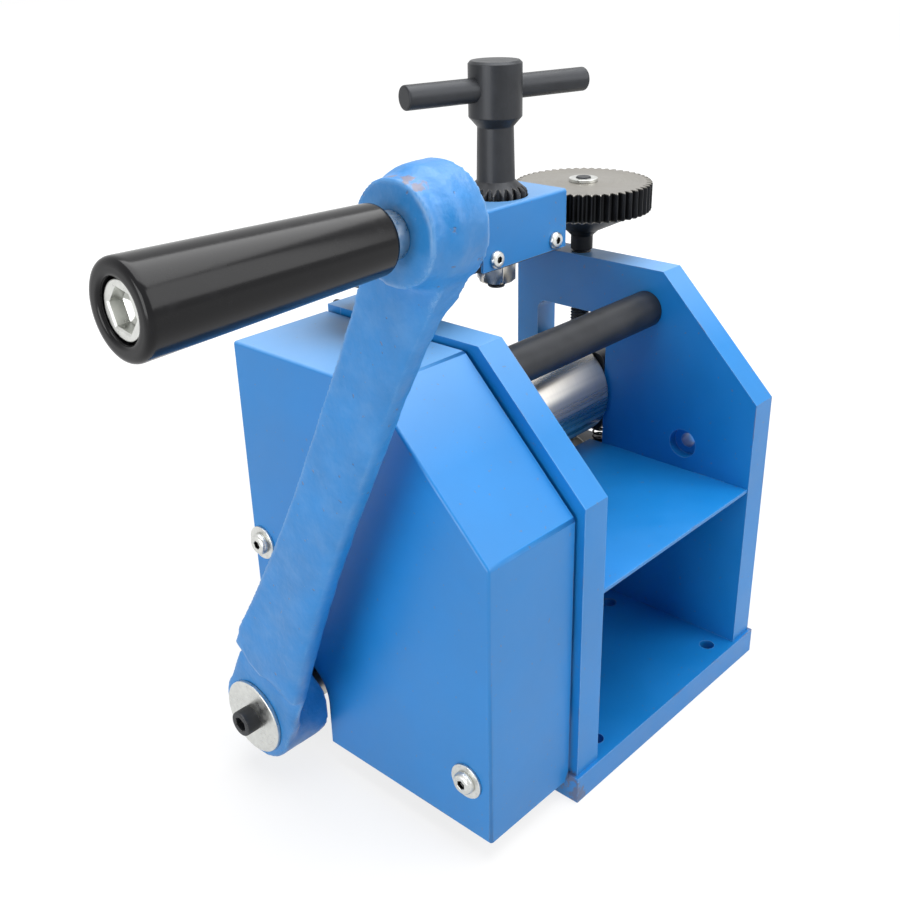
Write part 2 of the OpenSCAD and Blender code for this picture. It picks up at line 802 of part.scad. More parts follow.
module end_washer(z, x) zinc()
    translate([x - end_washer_t, axis_y, z]) rotate([0, 90, 0])
        ring(end_washer_d, end_screw_d + 2 * fit, end_washer_t);

module end_screw(z, x) black_oxide()
    translate([x - end_washer_t, axis_y, z]) rotate([0, -90, 0])
        cap_screw(end_screw_d, end_screw_l);

module lower_end_washer() end_washer(low_z, low_end_x);
module upper_end_washer() end_washer(high_z, high_end_x);
module lower_end_screw() end_screw(low_z, low_end_x);
module upper_end_screw() end_screw(high_z, high_end_x);

module roller_gear(z, angle) black_oxide() difference() {
    gear_x(roller_gear_x, axis_y, z, roller_teeth, roller_m, roller_gear_w, angle,
           roller_tooth_play, roller_addendum_share, roller_dedendum_share);
    rod_x(roller_gear_x - roller_gear_w - over, axis_y, z, seat_d + 2 * fit,
          roller_gear_w + 2 * over);
}

module lower_roller_gear() roller_gear(low_z, 90);
module upper_roller_gear() roller_gear(high_z, -90 + 180 / roller_teeth);

module reduction_gear() black_oxide() difference() {
    gear_x(reduction_x, axis_y, low_z, reduction_teeth, drive_m, reduction_w,
           drive_angle + 180 + 180 / reduction_teeth, tooth_play, addendum_share,
           dedendum_share);
    rod_x(reduction_x - reduction_w - over, axis_y, low_z, seat_d + 2 * fit,
          reduction_w + 2 * over);
}

// Adjusting screws and their gears

module adjusting_screw() black_oxide() {
    rod_z(plate_mid, axis_y, screw_end, screw_d, screw_gear_top - screw_end);
    rod_z(plate_mid, axis_y, screw_end, screw_tip_d,
          screw_gear_top + gear_washer_t + screw_tip_rise - screw_end);
}

module far_adjusting_screw() adjusting_screw();
module near_adjusting_screw() mirror([1, 0, 0]) adjusting_screw();

// Depth of the collar's lower end below the teeth
collar_depth = screw_gear_rise - collar_gap;

module adjusting_gear(angle) black_oxide() difference() {
    union() {
        translate([0, 0, screw_gear_z]) rotate(angle) train_gear(screw_teeth, screw_gear_w);
        translate([0, 0, screw_gear_z]) rotate_extrude() polygon([
            [0, over], [screw_root_r, over], [screw_root_r, 0], [cone_d / 2, -cone_h],
            [collar_d / 2, -cone_h - (cone_d - collar_d) / 2], [collar_d / 2, -collar_depth],
            [0, -collar_depth]
        ]);
    }
    rod_z(0, 0, screw_gear_z - collar_depth - over, screw_d + 2 * fit,
          screw_gear_w + collar_depth + 2 * over);
}

module far_adjusting_gear()
    translate([plate_mid, axis_y, 0]) adjusting_gear(180 + screw_gear_turn);
module near_adjusting_gear()
    translate([-plate_mid, axis_y, 0]) adjusting_gear(screw_gear_turn);

module gear_washer(x) zinc() translate([x, axis_y, screw_gear_top])
    ring(gear_washer_d, screw_tip_d + 2 * fit, gear_washer_t);
module far_gear_washer() gear_washer(plate_mid);
module near_gear_washer() gear_washer(-plate_mid);

module idler_gear(x, angle) black_oxide() difference() {
    translate([x, axis_y, idler_z]) rotate(angle) train_gear(idler_teeth, idler_w);
    rod_z(x, axis_y, idler_z - over, idler_pin_d + 2 * run_fit, idler_w + 2 * over);
}

module far_idler_gear() idler_gear(idler_x, 180 + 180 / idler_teeth);
module near_idler_gear() idler_gear(-idler_x, 180 / idler_teeth);

module idler_pins() bright_steel() both_ends()
    rod_z(idler_x, axis_y, carrier_z, idler_pin_d, idler_z + idler_w + clear - carrier_z);

// T-handle

module t_handle_spindle() black_oxide() translate([0, axis_y, 0]) difference() {
    union() {
        rotate_extrude() polygon([
            [0, nut_z - stud_reach], [stud_d / 2, nut_z - stud_reach],
            [stud_d / 2, carrier_z], [spindle_d / 2, carrier_z],
            [spindle_d / 2, idler_z], [column_foot_d / 2, idler_z],
            [column_foot_d / 2, pinion_top], [column_top_d / 2, head_z - neck_h],
            [head_d / 2, head_z], [head_d / 2, handle_top - head_d * head_bevel_share / 2],
            [head_d / 2 - head_d * head_bevel_share / 2, handle_top], [0, handle_top]
        ]);
        intersection() {
            translate([0, 0, idler_z]) train_gear(pinion_teeth, pinion_top - idler_z);
            rotate_extrude() polygon([
                [0, idler_z], [pinion_tip_r, idler_z], [pinion_tip_r, pinion_top - pinion_bevel],
                [column_foot_d / 2, pinion_top], [0, pinion_top]
            ]);
        }
    }
    rotate(-bar_turn) rod_x(-head_d, 0, bar_z, bar_d + 2 * fit, 2 * head_d);
}

module t_handle_bar() black_oxide() translate([0, axis_y, bar_z]) rotate(-bar_turn)
    rotate([0, 90, 0]) rotate_extrude() polygon([
        [0, bar_start], [bar_d / 2 - bar_edge, bar_start], [bar_d / 2, bar_start + bar_edge],
        [bar_d / 2, bar_end - bar_edge], [bar_d / 2 - bar_edge, bar_end], [0, bar_end]
    ]);
bar_start = bar_slide - bar_l / 2;
bar_end = bar_slide + bar_l / 2;
bar_edge = bar_d * head_bevel_share;

module spindle_washer() black_oxide() translate([0, axis_y, carrier_z - clear - nut_washer_t])
    ring(nut_af, stud_d + 2 * fit, nut_washer_t);

module spindle_nut() bright_steel() translate([0, axis_y, nut_z]) difference() {
    corner = nut_af / cos(30) / 2;
    bevel = corner - nut_af / 2;
    intersection() {
        cylinder(r = corner, h = nut_h, $fn = 6);
        rotate_extrude() polygon([
            [0, 0], [nut_af / 2, 0], [corner, bevel], [corner, nut_h - bevel],
            [nut_af / 2, nut_h], [0, nut_h]
        ]);
    }
    rod_z(0, 0, -over, stud_d + 2 * fit, nut_h + 2 * over);
}

// Bridge, carrier block and shroud over the idler gears

carrier_screw_l = 2 * carrier_screw_d + upstand_t;
carrier_screw_x = shroud_screw_span / 2 - 2 * carrier_screw_d;

module bridge() blue_paint() difference() {
    foot_top = plate_top + bridge_foot_t;
    union() {
        translate([-plate_out, bridge_y, plate_top - bridge_h])
            cube([2 * plate_out, bridge_d, bridge_h]);
        across(-carrier_l / 2, carrier_l) polygon([
            [bridge_y, plate_top - bridge_h], [plate_back, plate_top - bridge_h],
            [plate_back, foot_top], [shroud_back + upstand_t, foot_top],
            [shroud_back + upstand_t, foot_top + upstand_h],
            [shroud_back, foot_top + upstand_h], [shroud_back, plate_top],
            [bridge_y, plate_top]
        ]);
    }
    both_ends() {
        rod_y(plate_mid, bridge_y - over, bridge_screw_z, bridge_screw_d + 2 * fit,
              bridge_d + 2 * over);
        rod_y(carrier_screw_x, shroud_back - over, shroud_screw_z, carrier_screw_d + 2 * fit,
              upstand_t + 2 * over);
    }
}

module bridge_screws() black_oxide() both_ends()
    translate([plate_mid, plate_back, bridge_screw_z]) rotate([-90, 0, 0])
        cap_screw(bridge_screw_d, bridge_screw_l);

module carrier_block() black_oxide() difference() {
    translate([-carrier_l / 2, shroud_front + shroud_t, carrier_z])
        cube([carrier_l, shroud_d - 2 * shroud_t, carrier_h]);
    rod_z(0, axis_y, carrier_z - over, spindle_d + 2 * spindle_bush_wall, carrier_h + 2 * over);
    both_ends() {
        rod_z(idler_x, axis_y, carrier_z - over, idler_pin_d + 2 * fit, carrier_h + 2 * over);
        rod_y(shroud_screw_span / 2, shroud_front, shroud_screw_z, shroud_screw_d + 2 * fit,
              shroud_screw_l);
        rod_y(carrier_screw_x, shroud_back - carrier_screw_l + upstand_t, shroud_screw_z,
              carrier_screw_d + 2 * fit, carrier_screw_l);
    }
}

module carrier_screws() black_oxide() both_ends()
    translate([carrier_screw_x, shroud_back + upstand_t, shroud_screw_z]) rotate([-90, 0, 0])
        cap_screw(carrier_screw_d, carrier_screw_l);

module spindle_bush() bronze() translate([0, axis_y, carrier_z])
    ring(spindle_d + 2 * spindle_bush_wall - 2 * fit, spindle_d + 2 * run_fit, carrier_h);

module shroud() blue_paint() difference() {
    across(-shroud_l / 2, shroud_l) difference() {
        round_rect(shroud_front, shroud_z - shroud_d, shroud_back, shroud_top, shroud_t);
        translate([shroud_front + shroud_t, shroud_z - shroud_d])
            square([shroud_d - 2 * shroud_t, shroud_h + shroud_d - shroud_t]);
        translate([shroud_front - over, shroud_z - shroud_d - over])
            square([shroud_d + 2 * over, shroud_d + over]);
    }
    rod_z(0, axis_y, shroud_top - shroud_t - over, 2 * (pinion_tip_r + clear),
          shroud_t + 2 * over);
    both_ends() {
        rod_y(shroud_screw_span / 2, shroud_front - over, shroud_screw_z,
              shroud_screw_d + 2 * fit, shroud_t + 2 * over);
        rod_y(carrier_screw_x, shroud_back - shroud_t - over, shroud_screw_z,
              carrier_screw_d + 2 * fit, shroud_t + 2 * over);
    }
}

module shroud_screws() zinc() both_ends()
    translate([shroud_screw_span / 2, shroud_front, shroud_screw_z]) rotate([90, 0, 0])
        button_screw(shroud_screw_d, shroud_screw_l);

// Gear cover, held on two standoffs

standoff_places = [[rear_screw_y, rear_screw_z], [front_screw_y, front_screw_z]];
standoff_l = -plate_out - cover_x - cover_t;
stud_l = plate_t / 2;

// The cover's outline at a distance inside its outer faces
function cover_points(inset, low) =
    let (slope = cover_slope - inset * sqrt(2))
    [
        [cover_front + inset, low], [cover_back - inset, low],
        [cover_back - inset, cover_top - inset],
        [cover_top - inset - slope, cover_top - inset],
        [cover_front + inset, cover_front + inset + slope]
    ];

module gear_cover() blue_paint() difference() {
    across(cover_x, cover_d) polygon(cover_points(0, cover_low));
    across(cover_x + cover_t, cover_d) polygon(cover_points(cover_t, cover_low - over));
    across(cover_x - over, cover_t + 2 * over) {
        translate([crank_y, crank_z]) circle(d = cover_slot_w);
        translate([crank_y - cover_slot_w / 2, cover_low - over])
            square([cover_slot_w, crank_z - cover_low + over]);
    }
    for (p = standoff_places)
        rod_x(cover_x - over, p[0], p[1], cover_screw_d + 2 * fit, cover_t + 2 * over);
}

module cover_standoffs() bright_steel() for (p = standoff_places) difference() {
    union() {
        rod_x(cover_x + cover_t, p[0], p[1], standoff_d, standoff_l);
        rod_x(-plate_out - over, p[0], p[1], cover_screw_d, stud_l + over);
    }
    rod_x(cover_x, p[0], p[1], cover_screw_d + 2 * fit, cover_screw_l);
}

module cover_washers() zinc() for (p = standoff_places)
    translate([cover_x - cover_washer_t, p[0], p[1]]) rotate([0, 90, 0])
        ring(cover_washer_d, cover_screw_d + 2 * fit, cover_washer_t);

module cover_screws() zinc() for (p = standoff_places)
    translate([cover_x - cover_washer_t, p[0], p[1]]) rotate([0, -90, 0])
        button_screw(cover_screw_d, cover_screw_l);

// Crank

module crank_bush() bronze()
    translate([plate_in, crank_y, crank_z]) rotate([0, 90, 0])
        ring(crank_d + 2 * crank_bush_wall - 2 * fit, crank_d + 2 * run_fit, plate_t);
module far_crank_bush() crank_bush();
module near_crank_bush() mirror([1, 0, 0]) crank_bush();

// The keyway's box, on the top of the shaft in the crank's own direction
module key_box(grow) translate([0, crank_y, crank_z]) across(hub_front + key_w, hub_l - 2 * key_w)
    rotate(crank_angle) translate([crank_d / 2 - key_w / 2, -key_w / 2 - grow])
        square([key_w + grow, key_w + 2 * grow]);

module crank_shaft() bright_steel() difference() {
    rod_x(hub_front + clear, crank_y, crank_z, crank_d, plate_out - hub_front - clear);
    rod_x(hub_front, crank_y, crank_z, crank_screw_d + 2 * fit, crank_screw_l);
    key_box(fit);
}

module crank_key() bright_steel() key_box(0);

module drive_pinion() black_oxide() difference() {
    gear_x(reduction_x, crank_y, crank_z, drive_teeth, drive_m, reduction_w, drive_angle,
           tooth_play, addendum_share, dedendum_share);
    rod_x(reduction_x - reduction_w - over, crank_y, crank_z, crank_d + 2 * fit,
          reduction_w + 2 * over);
}

module shaft_collar() black_oxide()
    translate([-plate_out - clear - stop_collar_w, crank_y, crank_z]) rotate([0, 90, 0])
        ring(stop_collar_d, crank_d + 2 * fit, stop_collar_w);

// Half width of the crank arm at the distance u from the crank's axis
function arm_half(u) =
    let (
        waist = crank_throw * arm_waist_share,
        flare = crank_throw * arm_flare_share
    )
    u < waist ? arm_waist_w + (arm_low_w - arm_waist_w) * pow((waist - u) / (waist - arm_start), 2)
    : u < flare ? arm_waist_w
    : arm_waist_w + (arm_top_w - arm_waist_w) * pow((u - flare) / (crank_throw - flare), 2);

module arm_outline() {
    stations = [
        for (i = [0:arm_curve_steps])
            arm_start + (crank_throw - arm_start) * i / arm_curve_steps
    ];
    polygon(concat(
        [[0, arm_foot_w]],
        [for (i = [0:arm_curve_steps]) [stations[i], arm_half(stations[i])]],
        [for (i = [arm_curve_steps:-1:0]) [stations[i], -arm_half(stations[i])]],
        [[0, -arm_foot_w]]
    ));
}

// Places in the crank's own frame, on its axis and on the grip's
module at_crank() translate([0, crank_y, crank_z]) children();

module at_grip()
    translate([0, crank_throw * cos(crank_angle), crank_throw * sin(crank_angle)]) children();

module crank_arm() blue_paint() at_crank() difference() {
    union() {
        difference() {
            across(arm_front, arm_t) rotate(crank_angle) arm_outline();
            across(arm_front - over, arm_step + over) rotate(crank_angle)
                translate([-over, -hub_r]) square([arm_start + over, 2 * hub_r]);
        }
        rod_x(hub_front, 0, 0, 2 * hub_r, hub_l);
        at_grip() turned_x([
            [0, boss_front], [boss_face_r, boss_front],
            [boss_face_r, boss_front + boss_h / 2], [boss_r, arm_front],
            [boss_r, arm_back], [0, arm_back]
        ], 0, 0);
    }
    rod_x(hub_front - over, 0, 0, crank_d + 2 * fit, hub_l + 2 * over);
    translate([0, -crank_y, -crank_z]) key_box(fit);
    at_grip() rod_x(boss_front - over, 0, 0, handle_bolt_d + 2 * fit,
                    arm_back - boss_front + 2 * over);
}

module crank_washer() zinc()
    translate([hub_front - crank_washer_t, crank_y, crank_z]) rotate([0, 90, 0])
        ring(crank_washer_d, crank_screw_d + 2 * fit, crank_washer_t);

module crank_screw() black_oxide()
    translate([hub_front - crank_washer_t, crank_y, crank_z]) rotate([0, -90, 0])
        cap_screw(crank_screw_d, crank_screw_l);

// Grip

module handle_bolt() zinc() at_crank() at_grip() difference() {
    head_edge = handle_head_d * head_bevel_share;
    turned_x([
        [0, handle_head_x - handle_head_h],
        [handle_head_d / 2 - head_edge, handle_head_x - handle_head_h],
        [handle_head_d / 2, handle_head_x - handle_head_h + head_edge],
        [handle_head_d / 2, handle_head_x],
        [handle_bolt_d / 2, handle_head_x], [handle_bolt_d / 2, arm_back - clear],
        [0, arm_back - clear]
    ], 0, 0);
    translate([handle_head_x - handle_head_h - over, 0, 0]) rotate([0, 90, 0])
        cylinder(d = handle_bolt_d * socket_share / cos(30),
                 h = handle_head_h * socket_depth_share + over, $fn = 6);
}

module grip_spacer() zinc() at_crank() at_grip()
    translate([boss_front - spacer_t, 0, 0]) rotate([0, 90, 0])
        ring(spacer_d, handle_bolt_d + 2 * fit, spacer_t);

module hand_grip() black_plastic() at_crank() at_grip() turned_x([
    [handle_bolt_d / 2 + run_fit, grip_x], [grip_inner_d / 2 - grip_edge, grip_x],
    [grip_inner_d / 2, grip_x - grip_edge], [grip_d / 2, grip_end + grip_edge],
    [grip_d / 2 - grip_edge, grip_end], [recess_d / 2, grip_end],
    [recess_d / 2, grip_end + recess_h], [handle_bolt_d / 2 + run_fit, grip_end + recess_h]
], 0, 0);

base_plate();
foot_screws();
near_side_plate();
far_side_plate();
tie_bar();
tie_screws();
work_table();
near_lower_block();
far_lower_block();
lower_bushes();
lift_springs();
near_crank_bush();
far_crank_bush();
bridge();
bridge_screws();
carrier_block();
carrier_screws();
spindle_bush();
idler_pins();
shroud();
shroud_screws();
gear_cover();
cover_standoffs();
cover_washers();
cover_screws();
near_upper_block();
far_upper_block();
upper_bushes();
thrust_pads();
upper_roller();
upper_roller_gear();
upper_end_washer();
upper_end_screw();
lower_roller();
lower_roller_gear();
reduction_gear();
lower_end_washer();
lower_end_screw();
near_adjusting_screw();
near_adjusting_gear();
near_gear_washer();
far_adjusting_screw();
far_adjusting_gear();
far_gear_washer();
near_idler_gear();
far_idler_gear();
t_handle_spindle();
t_handle_bar();
spindle_nut();
spindle_washer();
crank_shaft();
drive_pinion();
shaft_collar();
crank_key();
crank_arm();
crank_washer();
crank_screw();
handle_bolt();
grip_spacer();
hand_grip();
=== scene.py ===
"""Looks of a jeweller's rolling mill: painted plates, cast crank, turned and toothed steel."""

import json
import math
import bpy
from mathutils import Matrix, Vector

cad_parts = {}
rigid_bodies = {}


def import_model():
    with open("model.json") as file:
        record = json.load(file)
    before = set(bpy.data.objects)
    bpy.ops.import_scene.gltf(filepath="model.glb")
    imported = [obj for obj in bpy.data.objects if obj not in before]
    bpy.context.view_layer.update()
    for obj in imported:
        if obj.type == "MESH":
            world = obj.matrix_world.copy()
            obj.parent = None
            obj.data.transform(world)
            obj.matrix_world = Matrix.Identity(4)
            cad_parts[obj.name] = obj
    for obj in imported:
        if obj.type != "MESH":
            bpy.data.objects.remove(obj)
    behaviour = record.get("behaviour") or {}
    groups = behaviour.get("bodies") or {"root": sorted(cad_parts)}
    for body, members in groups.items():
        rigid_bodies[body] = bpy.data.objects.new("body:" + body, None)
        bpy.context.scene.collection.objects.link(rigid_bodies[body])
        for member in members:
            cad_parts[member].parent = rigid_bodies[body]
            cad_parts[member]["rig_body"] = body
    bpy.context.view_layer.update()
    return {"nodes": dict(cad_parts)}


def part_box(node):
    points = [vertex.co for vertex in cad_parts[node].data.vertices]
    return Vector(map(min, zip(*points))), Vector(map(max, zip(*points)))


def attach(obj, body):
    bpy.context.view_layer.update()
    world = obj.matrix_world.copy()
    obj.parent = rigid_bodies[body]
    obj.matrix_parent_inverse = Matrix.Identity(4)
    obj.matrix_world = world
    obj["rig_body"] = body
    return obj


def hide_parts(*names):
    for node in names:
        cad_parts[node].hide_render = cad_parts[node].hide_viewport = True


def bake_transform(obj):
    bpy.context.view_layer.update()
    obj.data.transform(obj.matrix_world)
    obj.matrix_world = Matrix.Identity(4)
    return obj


bl_info = {
    "name": "Jeweller's rolling mill",
    "version": (1, 0, 0),
    "blender": (4, 5, 0),
    "location": "View3D > Sidebar > Rolling mill",
    "description": "Finishes the pieces of a hand-cranked rolling mill and sets its stage",
    "category": "Object",
}

import bmesh
import bpy
import numpy as np
from bpy.props import FloatProperty, FloatVectorProperty, IntProperty, PointerProperty
from mathutils import Matrix, Vector, noise

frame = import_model()

# Lengths in this file are millimetres up to the mesh, and metres in it
MM = 0.001

# Shared places and sizes of the mill, as in its drawing
PLATE_IN, PLATE_MID, PLATE_OUT = 56.5, 63.5, 70.5
PLATE_BACK = 68.5
AXIS_Y, LOW_Z, HIGH_Z = 34.5, 72.0, 122.6
CRANK_Y, CRANK_Z = 45.0, 31.0
CRANK_ANGLE = math.radians(116.4)
CRANK_THROW = 255.0
GRIP_Y = CRANK_Y + CRANK_THROW * math.cos(CRANK_ANGLE)
GRIP_Z = CRANK_Z + CRANK_THROW * math.sin(CRANK_ANGLE)
ROLLER_R, ROLLER_HALF, JOURNAL_R, JOURNAL_END, GEAR_SEAT_R = 25.0, 55.0, 12.0, 72.5, 10.0
BUSH_X, PAD_Z, FOOT_Y, FOOT_Z = 56.1, 143.1, 60.5, 6.0
GEAR_X, REDUCTION_X, COLLAR_X, SHAFT_END = -72.9, -88.9, -77.8, -146.7
COVER_X, COVER_T, COVER_SCREWS = -121.3, 1.5, ((61.9, 98.4), (-53.1, 35.4))
COVER_FRONT, COVER_BACK, COVER_TOP, COVER_SLOPE = -65.2, 68.2, 187.5, 198.863
HUB_FRONT, BOSS_FRONT = -147.0, -162.6
TIE_Y, TIE_Z = -8.5, 171.0
SPRING_Y, SPRING_Z, SPRING_H = 13.5, 90.5, 13.6
CARRIER_Z, IDLER_Z, PINION_TOP = 201.4, 211.7, 234.7
SCREW_FOOT, WHEEL_FOOT, GEAR_Z, GEAR_TOP, SCREW_TIP = 146.4, 191.4, 210.5, 223.5, 225.7
SPINDLE_FOOT, NUT_Z, WASHER_Z, BAR_Z, HANDLE_TOP = 187.4, 190.2, 199.7, 272.35, 283.6
BAR_TURN = math.radians(-15.4)
BRIDGE_SCREW_Z, CARRIER_BACK, SHROUD_FRONT, SHROUD_SCREW_Z = 187.4, 58.5, 17.5, 206.8
GRIP_IN, GRIP_OUT = 168.9, 246.9

# Each side of the mill, with the way its pieces face, and each roller: its height and the end
# of its journal in the gear case
SIDES = ((1, "far", "X"), (-1, "near", "-X"))
LEVELS = (("lower", LOW_Z, -100.9), ("upper", HIGH_Z, -86.9))

# Teeth: pressure angle, and modules of the adjusting train, the drive and the rollers
PRESSURE = math.radians(25)
TRAIN_M = 127 / 102
DRIVE_SPAN = math.hypot(AXIS_Y - CRANK_Y, LOW_Z - CRANK_Z)
DRIVE_M = 2 * DRIVE_SPAN / 56
DRIVE_ANGLE = math.atan2(LOW_Z - CRANK_Z, AXIS_Y - CRANK_Y)
ROLLER_M = 50.3 / 17
IDLER_X = TRAIN_M * 18

# Rotations that lay a piece's own Z along the named direction
TURNS = {
    "X": ((0, 0, 1), (1, 0, 0), (0, 1, 0)),
    "-X": ((0, 0, -1), (0, 1, 0), (1, 0, 0)),
    "Z": ((1, 0, 0), (0, 1, 0), (0, 0, 1)),
}
AIMS = {"X": (1, 0, 0), "-X": (-1, 0, 0), "Y": (0, 1, 0), "-Y": (0, -1, 0), "-Z": (0, 0, -1)}

# Stains on the plates, and on the crank arm: place and reach in millimetres
STAINS = (((-71.0, -68.0, 4.0), 7.0), ((-71.5, -66.0, 12.0), 4.0), ((71.0, -68.0, 12.0), 3.0))
CAST_STAINS = (((-159.5, -76.0, 273.5), 3.0), ((-160.0, -71.5, 274.5), 3.2),
               ((-160.5, -67.0, 275.0), 2.6))

# A screw's head width, head height and key width as shares of its thread, and its key's depth
# as a share of the head's height
CAP_SHARES = (1.6, 0.95, 0.85, 0.55)
BUTTON_SHARES = (1.9, 0.55, 0.65, 0.62)

# Kinds of rows in a spun section, and the first rows of a screw's, which lie in its socket
PLAIN, TOOTHED, HEXAGON, KNURLED = range(4)
SOCKET_ROWS = 4

WELD = 0.002 * MM
ROWS_PER_PITCH = 8
SIXTH = math.pi / 3


def length(name, description, value, low, high):
    """A length property, given in millimetres."""
    return FloatProperty(name=name, description=description, default=value * MM,
                         min=low * MM, max=high * MM, unit="LENGTH")


def tint(name, description, *value):
    """A colour property."""
    return FloatVectorProperty(name=name, description=description, subtype="COLOR",
                               default=value, min=0, max=1)


class MillSizes(bpy.types.PropertyGroup):
    """Sizes of the mill's finish"""

    plate_edge: length("Plate edge", "Radius on the edges of the thick plates", 0.5, 0.1, 1.5)
    sheet_fold: length("Sheet fold", "Outer radius of the folds in the gear cover",
                       1.3, 0.3, 1.4)
    cast_grid: length("Casting grid", "Grid of the mesh that softens the cast crank",
                      1.15, 1, 2)
    cast_lumps: length("Casting lumps", "Height of the lumps on the cast crank", 0.3, 0, 1)
    grip_round: length("Grip rounding", "Radius on the outer end of the grip", 3.4, 1.6, 3.6)
    thread_pitch: length("Thread pitch", "Pitch of the adjusting screws", 1.5, 0.75, 2)
    thread_depth: length("Thread depth", "Depth of the adjusting screws' thread", 0.7, 0.2, 1)
    spring_turns: IntProperty(
        name="Spring turns", description="Turns of a lift spring", default=5, min=3, max=6)


class MillColours(bpy.types.PropertyGroup):
    """Colours of the mill's finishes"""

    paint: tint("Paint", "Blue powder coat", 0.003, 0.20, 0.56)
    cast_paint: tint("Cast paint", "Blue paint on the cast crank", 0.006, 0.20, 0.55)
    # This colour is also the painted sheen on high faces and the painted highlight on the
    # crank's rims
    worn_paint_and_sheen: tint("Worn paint and sheen", "Rubbed and dusty paint, and painted sheen", 0.30, 0.52, 0.80)
    rust: tint("Rust", "Brown stains at chips and corners", 0.20, 0.12, 0.08)
    blackened: tint("Blackened steel", "Black oxide on turned steel", 0.026, 0.028, 0.032)
    bright: tint("Bright steel", "Polished and ground steel", 0.62, 0.59, 0.53)
    rolled: tint("Roller steel", "Ground steel of the rollers", 0.62, 0.58, 0.51)
    zinc: tint("Zinc", "Zinc plating", 0.76, 0.77, 0.74)
    bronze: tint("Bronze", "Bearing bronze", 0.45, 0.26, 0.10)
    plastic: tint("Grip plastic", "Moulded plastic of the grip", 0.006, 0.006, 0.007)


# Building node trees

def before(operation):
    """A method that gives the Math node of a value and another one, in this order."""
    return lambda self, other: maths(operation, self, other)


def after(operation):
    """The same with the other one first."""
    return lambda self, other: maths(operation, other, self)


class Value:
    """An output of a node. Sums and comparisons of values are Math nodes in its tree."""

    __add__, __sub__, __rsub__ = before("ADD"), before("SUBTRACT"), after("SUBTRACT")
    __mul__, __mod__ = before("MULTIPLY"), before("FLOORED_MODULO")
    __truediv__, __rtruediv__ = before("DIVIDE"), after("DIVIDE")
    __gt__, __lt__ = before("GREATER_THAN"), before("LESS_THAN")

    def __init__(self, socket):
        self.socket, self.tree = socket, socket.id_data


def plug(socket, value):
    """Links a socket to a value, or sets it to a constant."""
    if isinstance(value, Value):
        socket.id_data.links.new(value.socket, socket)
    else:
        socket.default_value = value


def add(tree, kind, wires=None, **settings):
    """Adds a node, with its settings and what its inputs take."""
    node = tree.nodes.new(kind)
    for key, value in settings.items():
        setattr(node, key, value)
    for key, value in (wires or {}).items():
        plug(node.inputs[key], value)
    return node


def out(tree, kind, wires=None, pick=0, **settings):
    """One output of a new node."""
    return Value(add(tree, kind, wires, **settings).outputs[pick])


def maths(operation, *values):
    """The result of a Math node. One of its values at least comes from a node."""
    tree = next(value.tree for value in values if isinstance(value, Value))
    return out(tree, "ShaderNodeMath", dict(enumerate(values)), operation=operation)


def picked(share, low, high):
    """A number between two, by a share of the second."""
    return out(share.tree, "ShaderNodeMix", {0: share, 2: low, 3: high})


def ranged(value, low, high, start=0.0, end=1.0):
    """A value carried from the range low..high to start..end, and kept in it."""
    return out(value.tree, "ShaderNodeMapRange", {
        "Value": value, "From Min": low, "From Max": high, "To Min": start, "To Max": end})


def split(value):
    """The three parts of a vector."""
    return [Value(part) for part in add(value.tree, "ShaderNodeSeparateXYZ",
                                        {0: value}).outputs]


def vector(tree, *parts):
    """A vector of three parts."""
    return out(tree, "ShaderNodeCombineXYZ", dict(enumerate(parts)))


def vector_maths(tree, operation, first, *second):
    """The number that a Vector Math node gives."""
    return out(tree, "ShaderNodeVectorMath", dict(enumerate((first, *second))), "Value",
               operation=operation)


FLOAT, INT, GEOMETRY = "NodeSocketFloat", "NodeSocketInt", "NodeSocketGeometry"
MATERIAL = "NodeSocketMaterial"


def new_tree(name, kind, inputs, output):
    """A node group. Returns its tree, the values of its inputs by name and its end node."""
    tree = bpy.data.node_groups.new(name, kind)
    for label, socket_kind, default in inputs:
        socket = tree.interface.new_socket(label, in_out="INPUT", socket_type=socket_kind)
        if default is not None:
            socket.default_value = default
    tree.interface.new_socket(output[0], in_out="OUTPUT", socket_type=output[1])
    start, end = tree.nodes.new("NodeGroupInput"), tree.nodes.new("NodeGroupOutput")
    return tree, {socket.name: Value(socket) for socket in start.outputs}, end


# Geometry Nodes: a section spun round Z, socket screws, threads and springs

SPIN_INPUTS = (("Columns", INT, 96), ("Teeth", INT, 0), ("Flank Steps", INT, 3),
               ("Module", FLOAT, MM), ("Play", FLOAT, 0.0), ("Addendum", FLOAT, 1.0),
               ("Dedendum", FLOAT, 1.25), ("Knurl", FLOAT, 0.0))


def roll(radius, base):
    """Roll angle of an involute on a base circle at a radius, as tan(acos) - acos."""
    ratio = base / maths("MAXIMUM", radius, base)
    turn = maths("ARCCOSINE", maths("MINIMUM", ratio, 1.0))
    return maths("TANGENT", turn) - turn


def polar(radius, turn, height):
    """The place at a radius, a turn round Z and a height."""
    return vector(turn.tree, radius * maths("COSINE", turn), radius * maths("SINE", turn),
                  height)


def wrapped_grid(tree, columns, last):
    """A grid of columns round a piece by rows along it: its mesh, and the column and row of
    each point."""
    mesh = out(tree, "GeometryNodeMeshGrid", {
        "Size X": columns, "Size Y": last, "Vertices X": columns + 1,
        "Vertices Y": last + 1}, "Mesh")
    x, y, _ = split(out(tree, "GeometryNodeInputPosition"))
    return mesh, maths("ROUND", x + columns * 0.5), maths("ROUND", y + last * 0.5)


def attribute(tree, label, kind="FLOAT"):
    """A named attribute of the mesh."""
    return out(tree, "GeometryNodeInputNamedAttribute", {"Name": label}, data_type=kind)


def stored(mesh, label, value, kind="FLOAT"):
    """The mesh with a named attribute."""
    return out(mesh.tree, "GeometryNodeStoreNamedAttribute", {
        "Geometry": mesh, "Name": label, "Value": value}, data_type=kind)


def moved(mesh, place):
    """The mesh with its points put at a place."""
    return out(mesh.tree, "GeometryNodeSetPosition", {"Geometry": mesh, "Position": place})


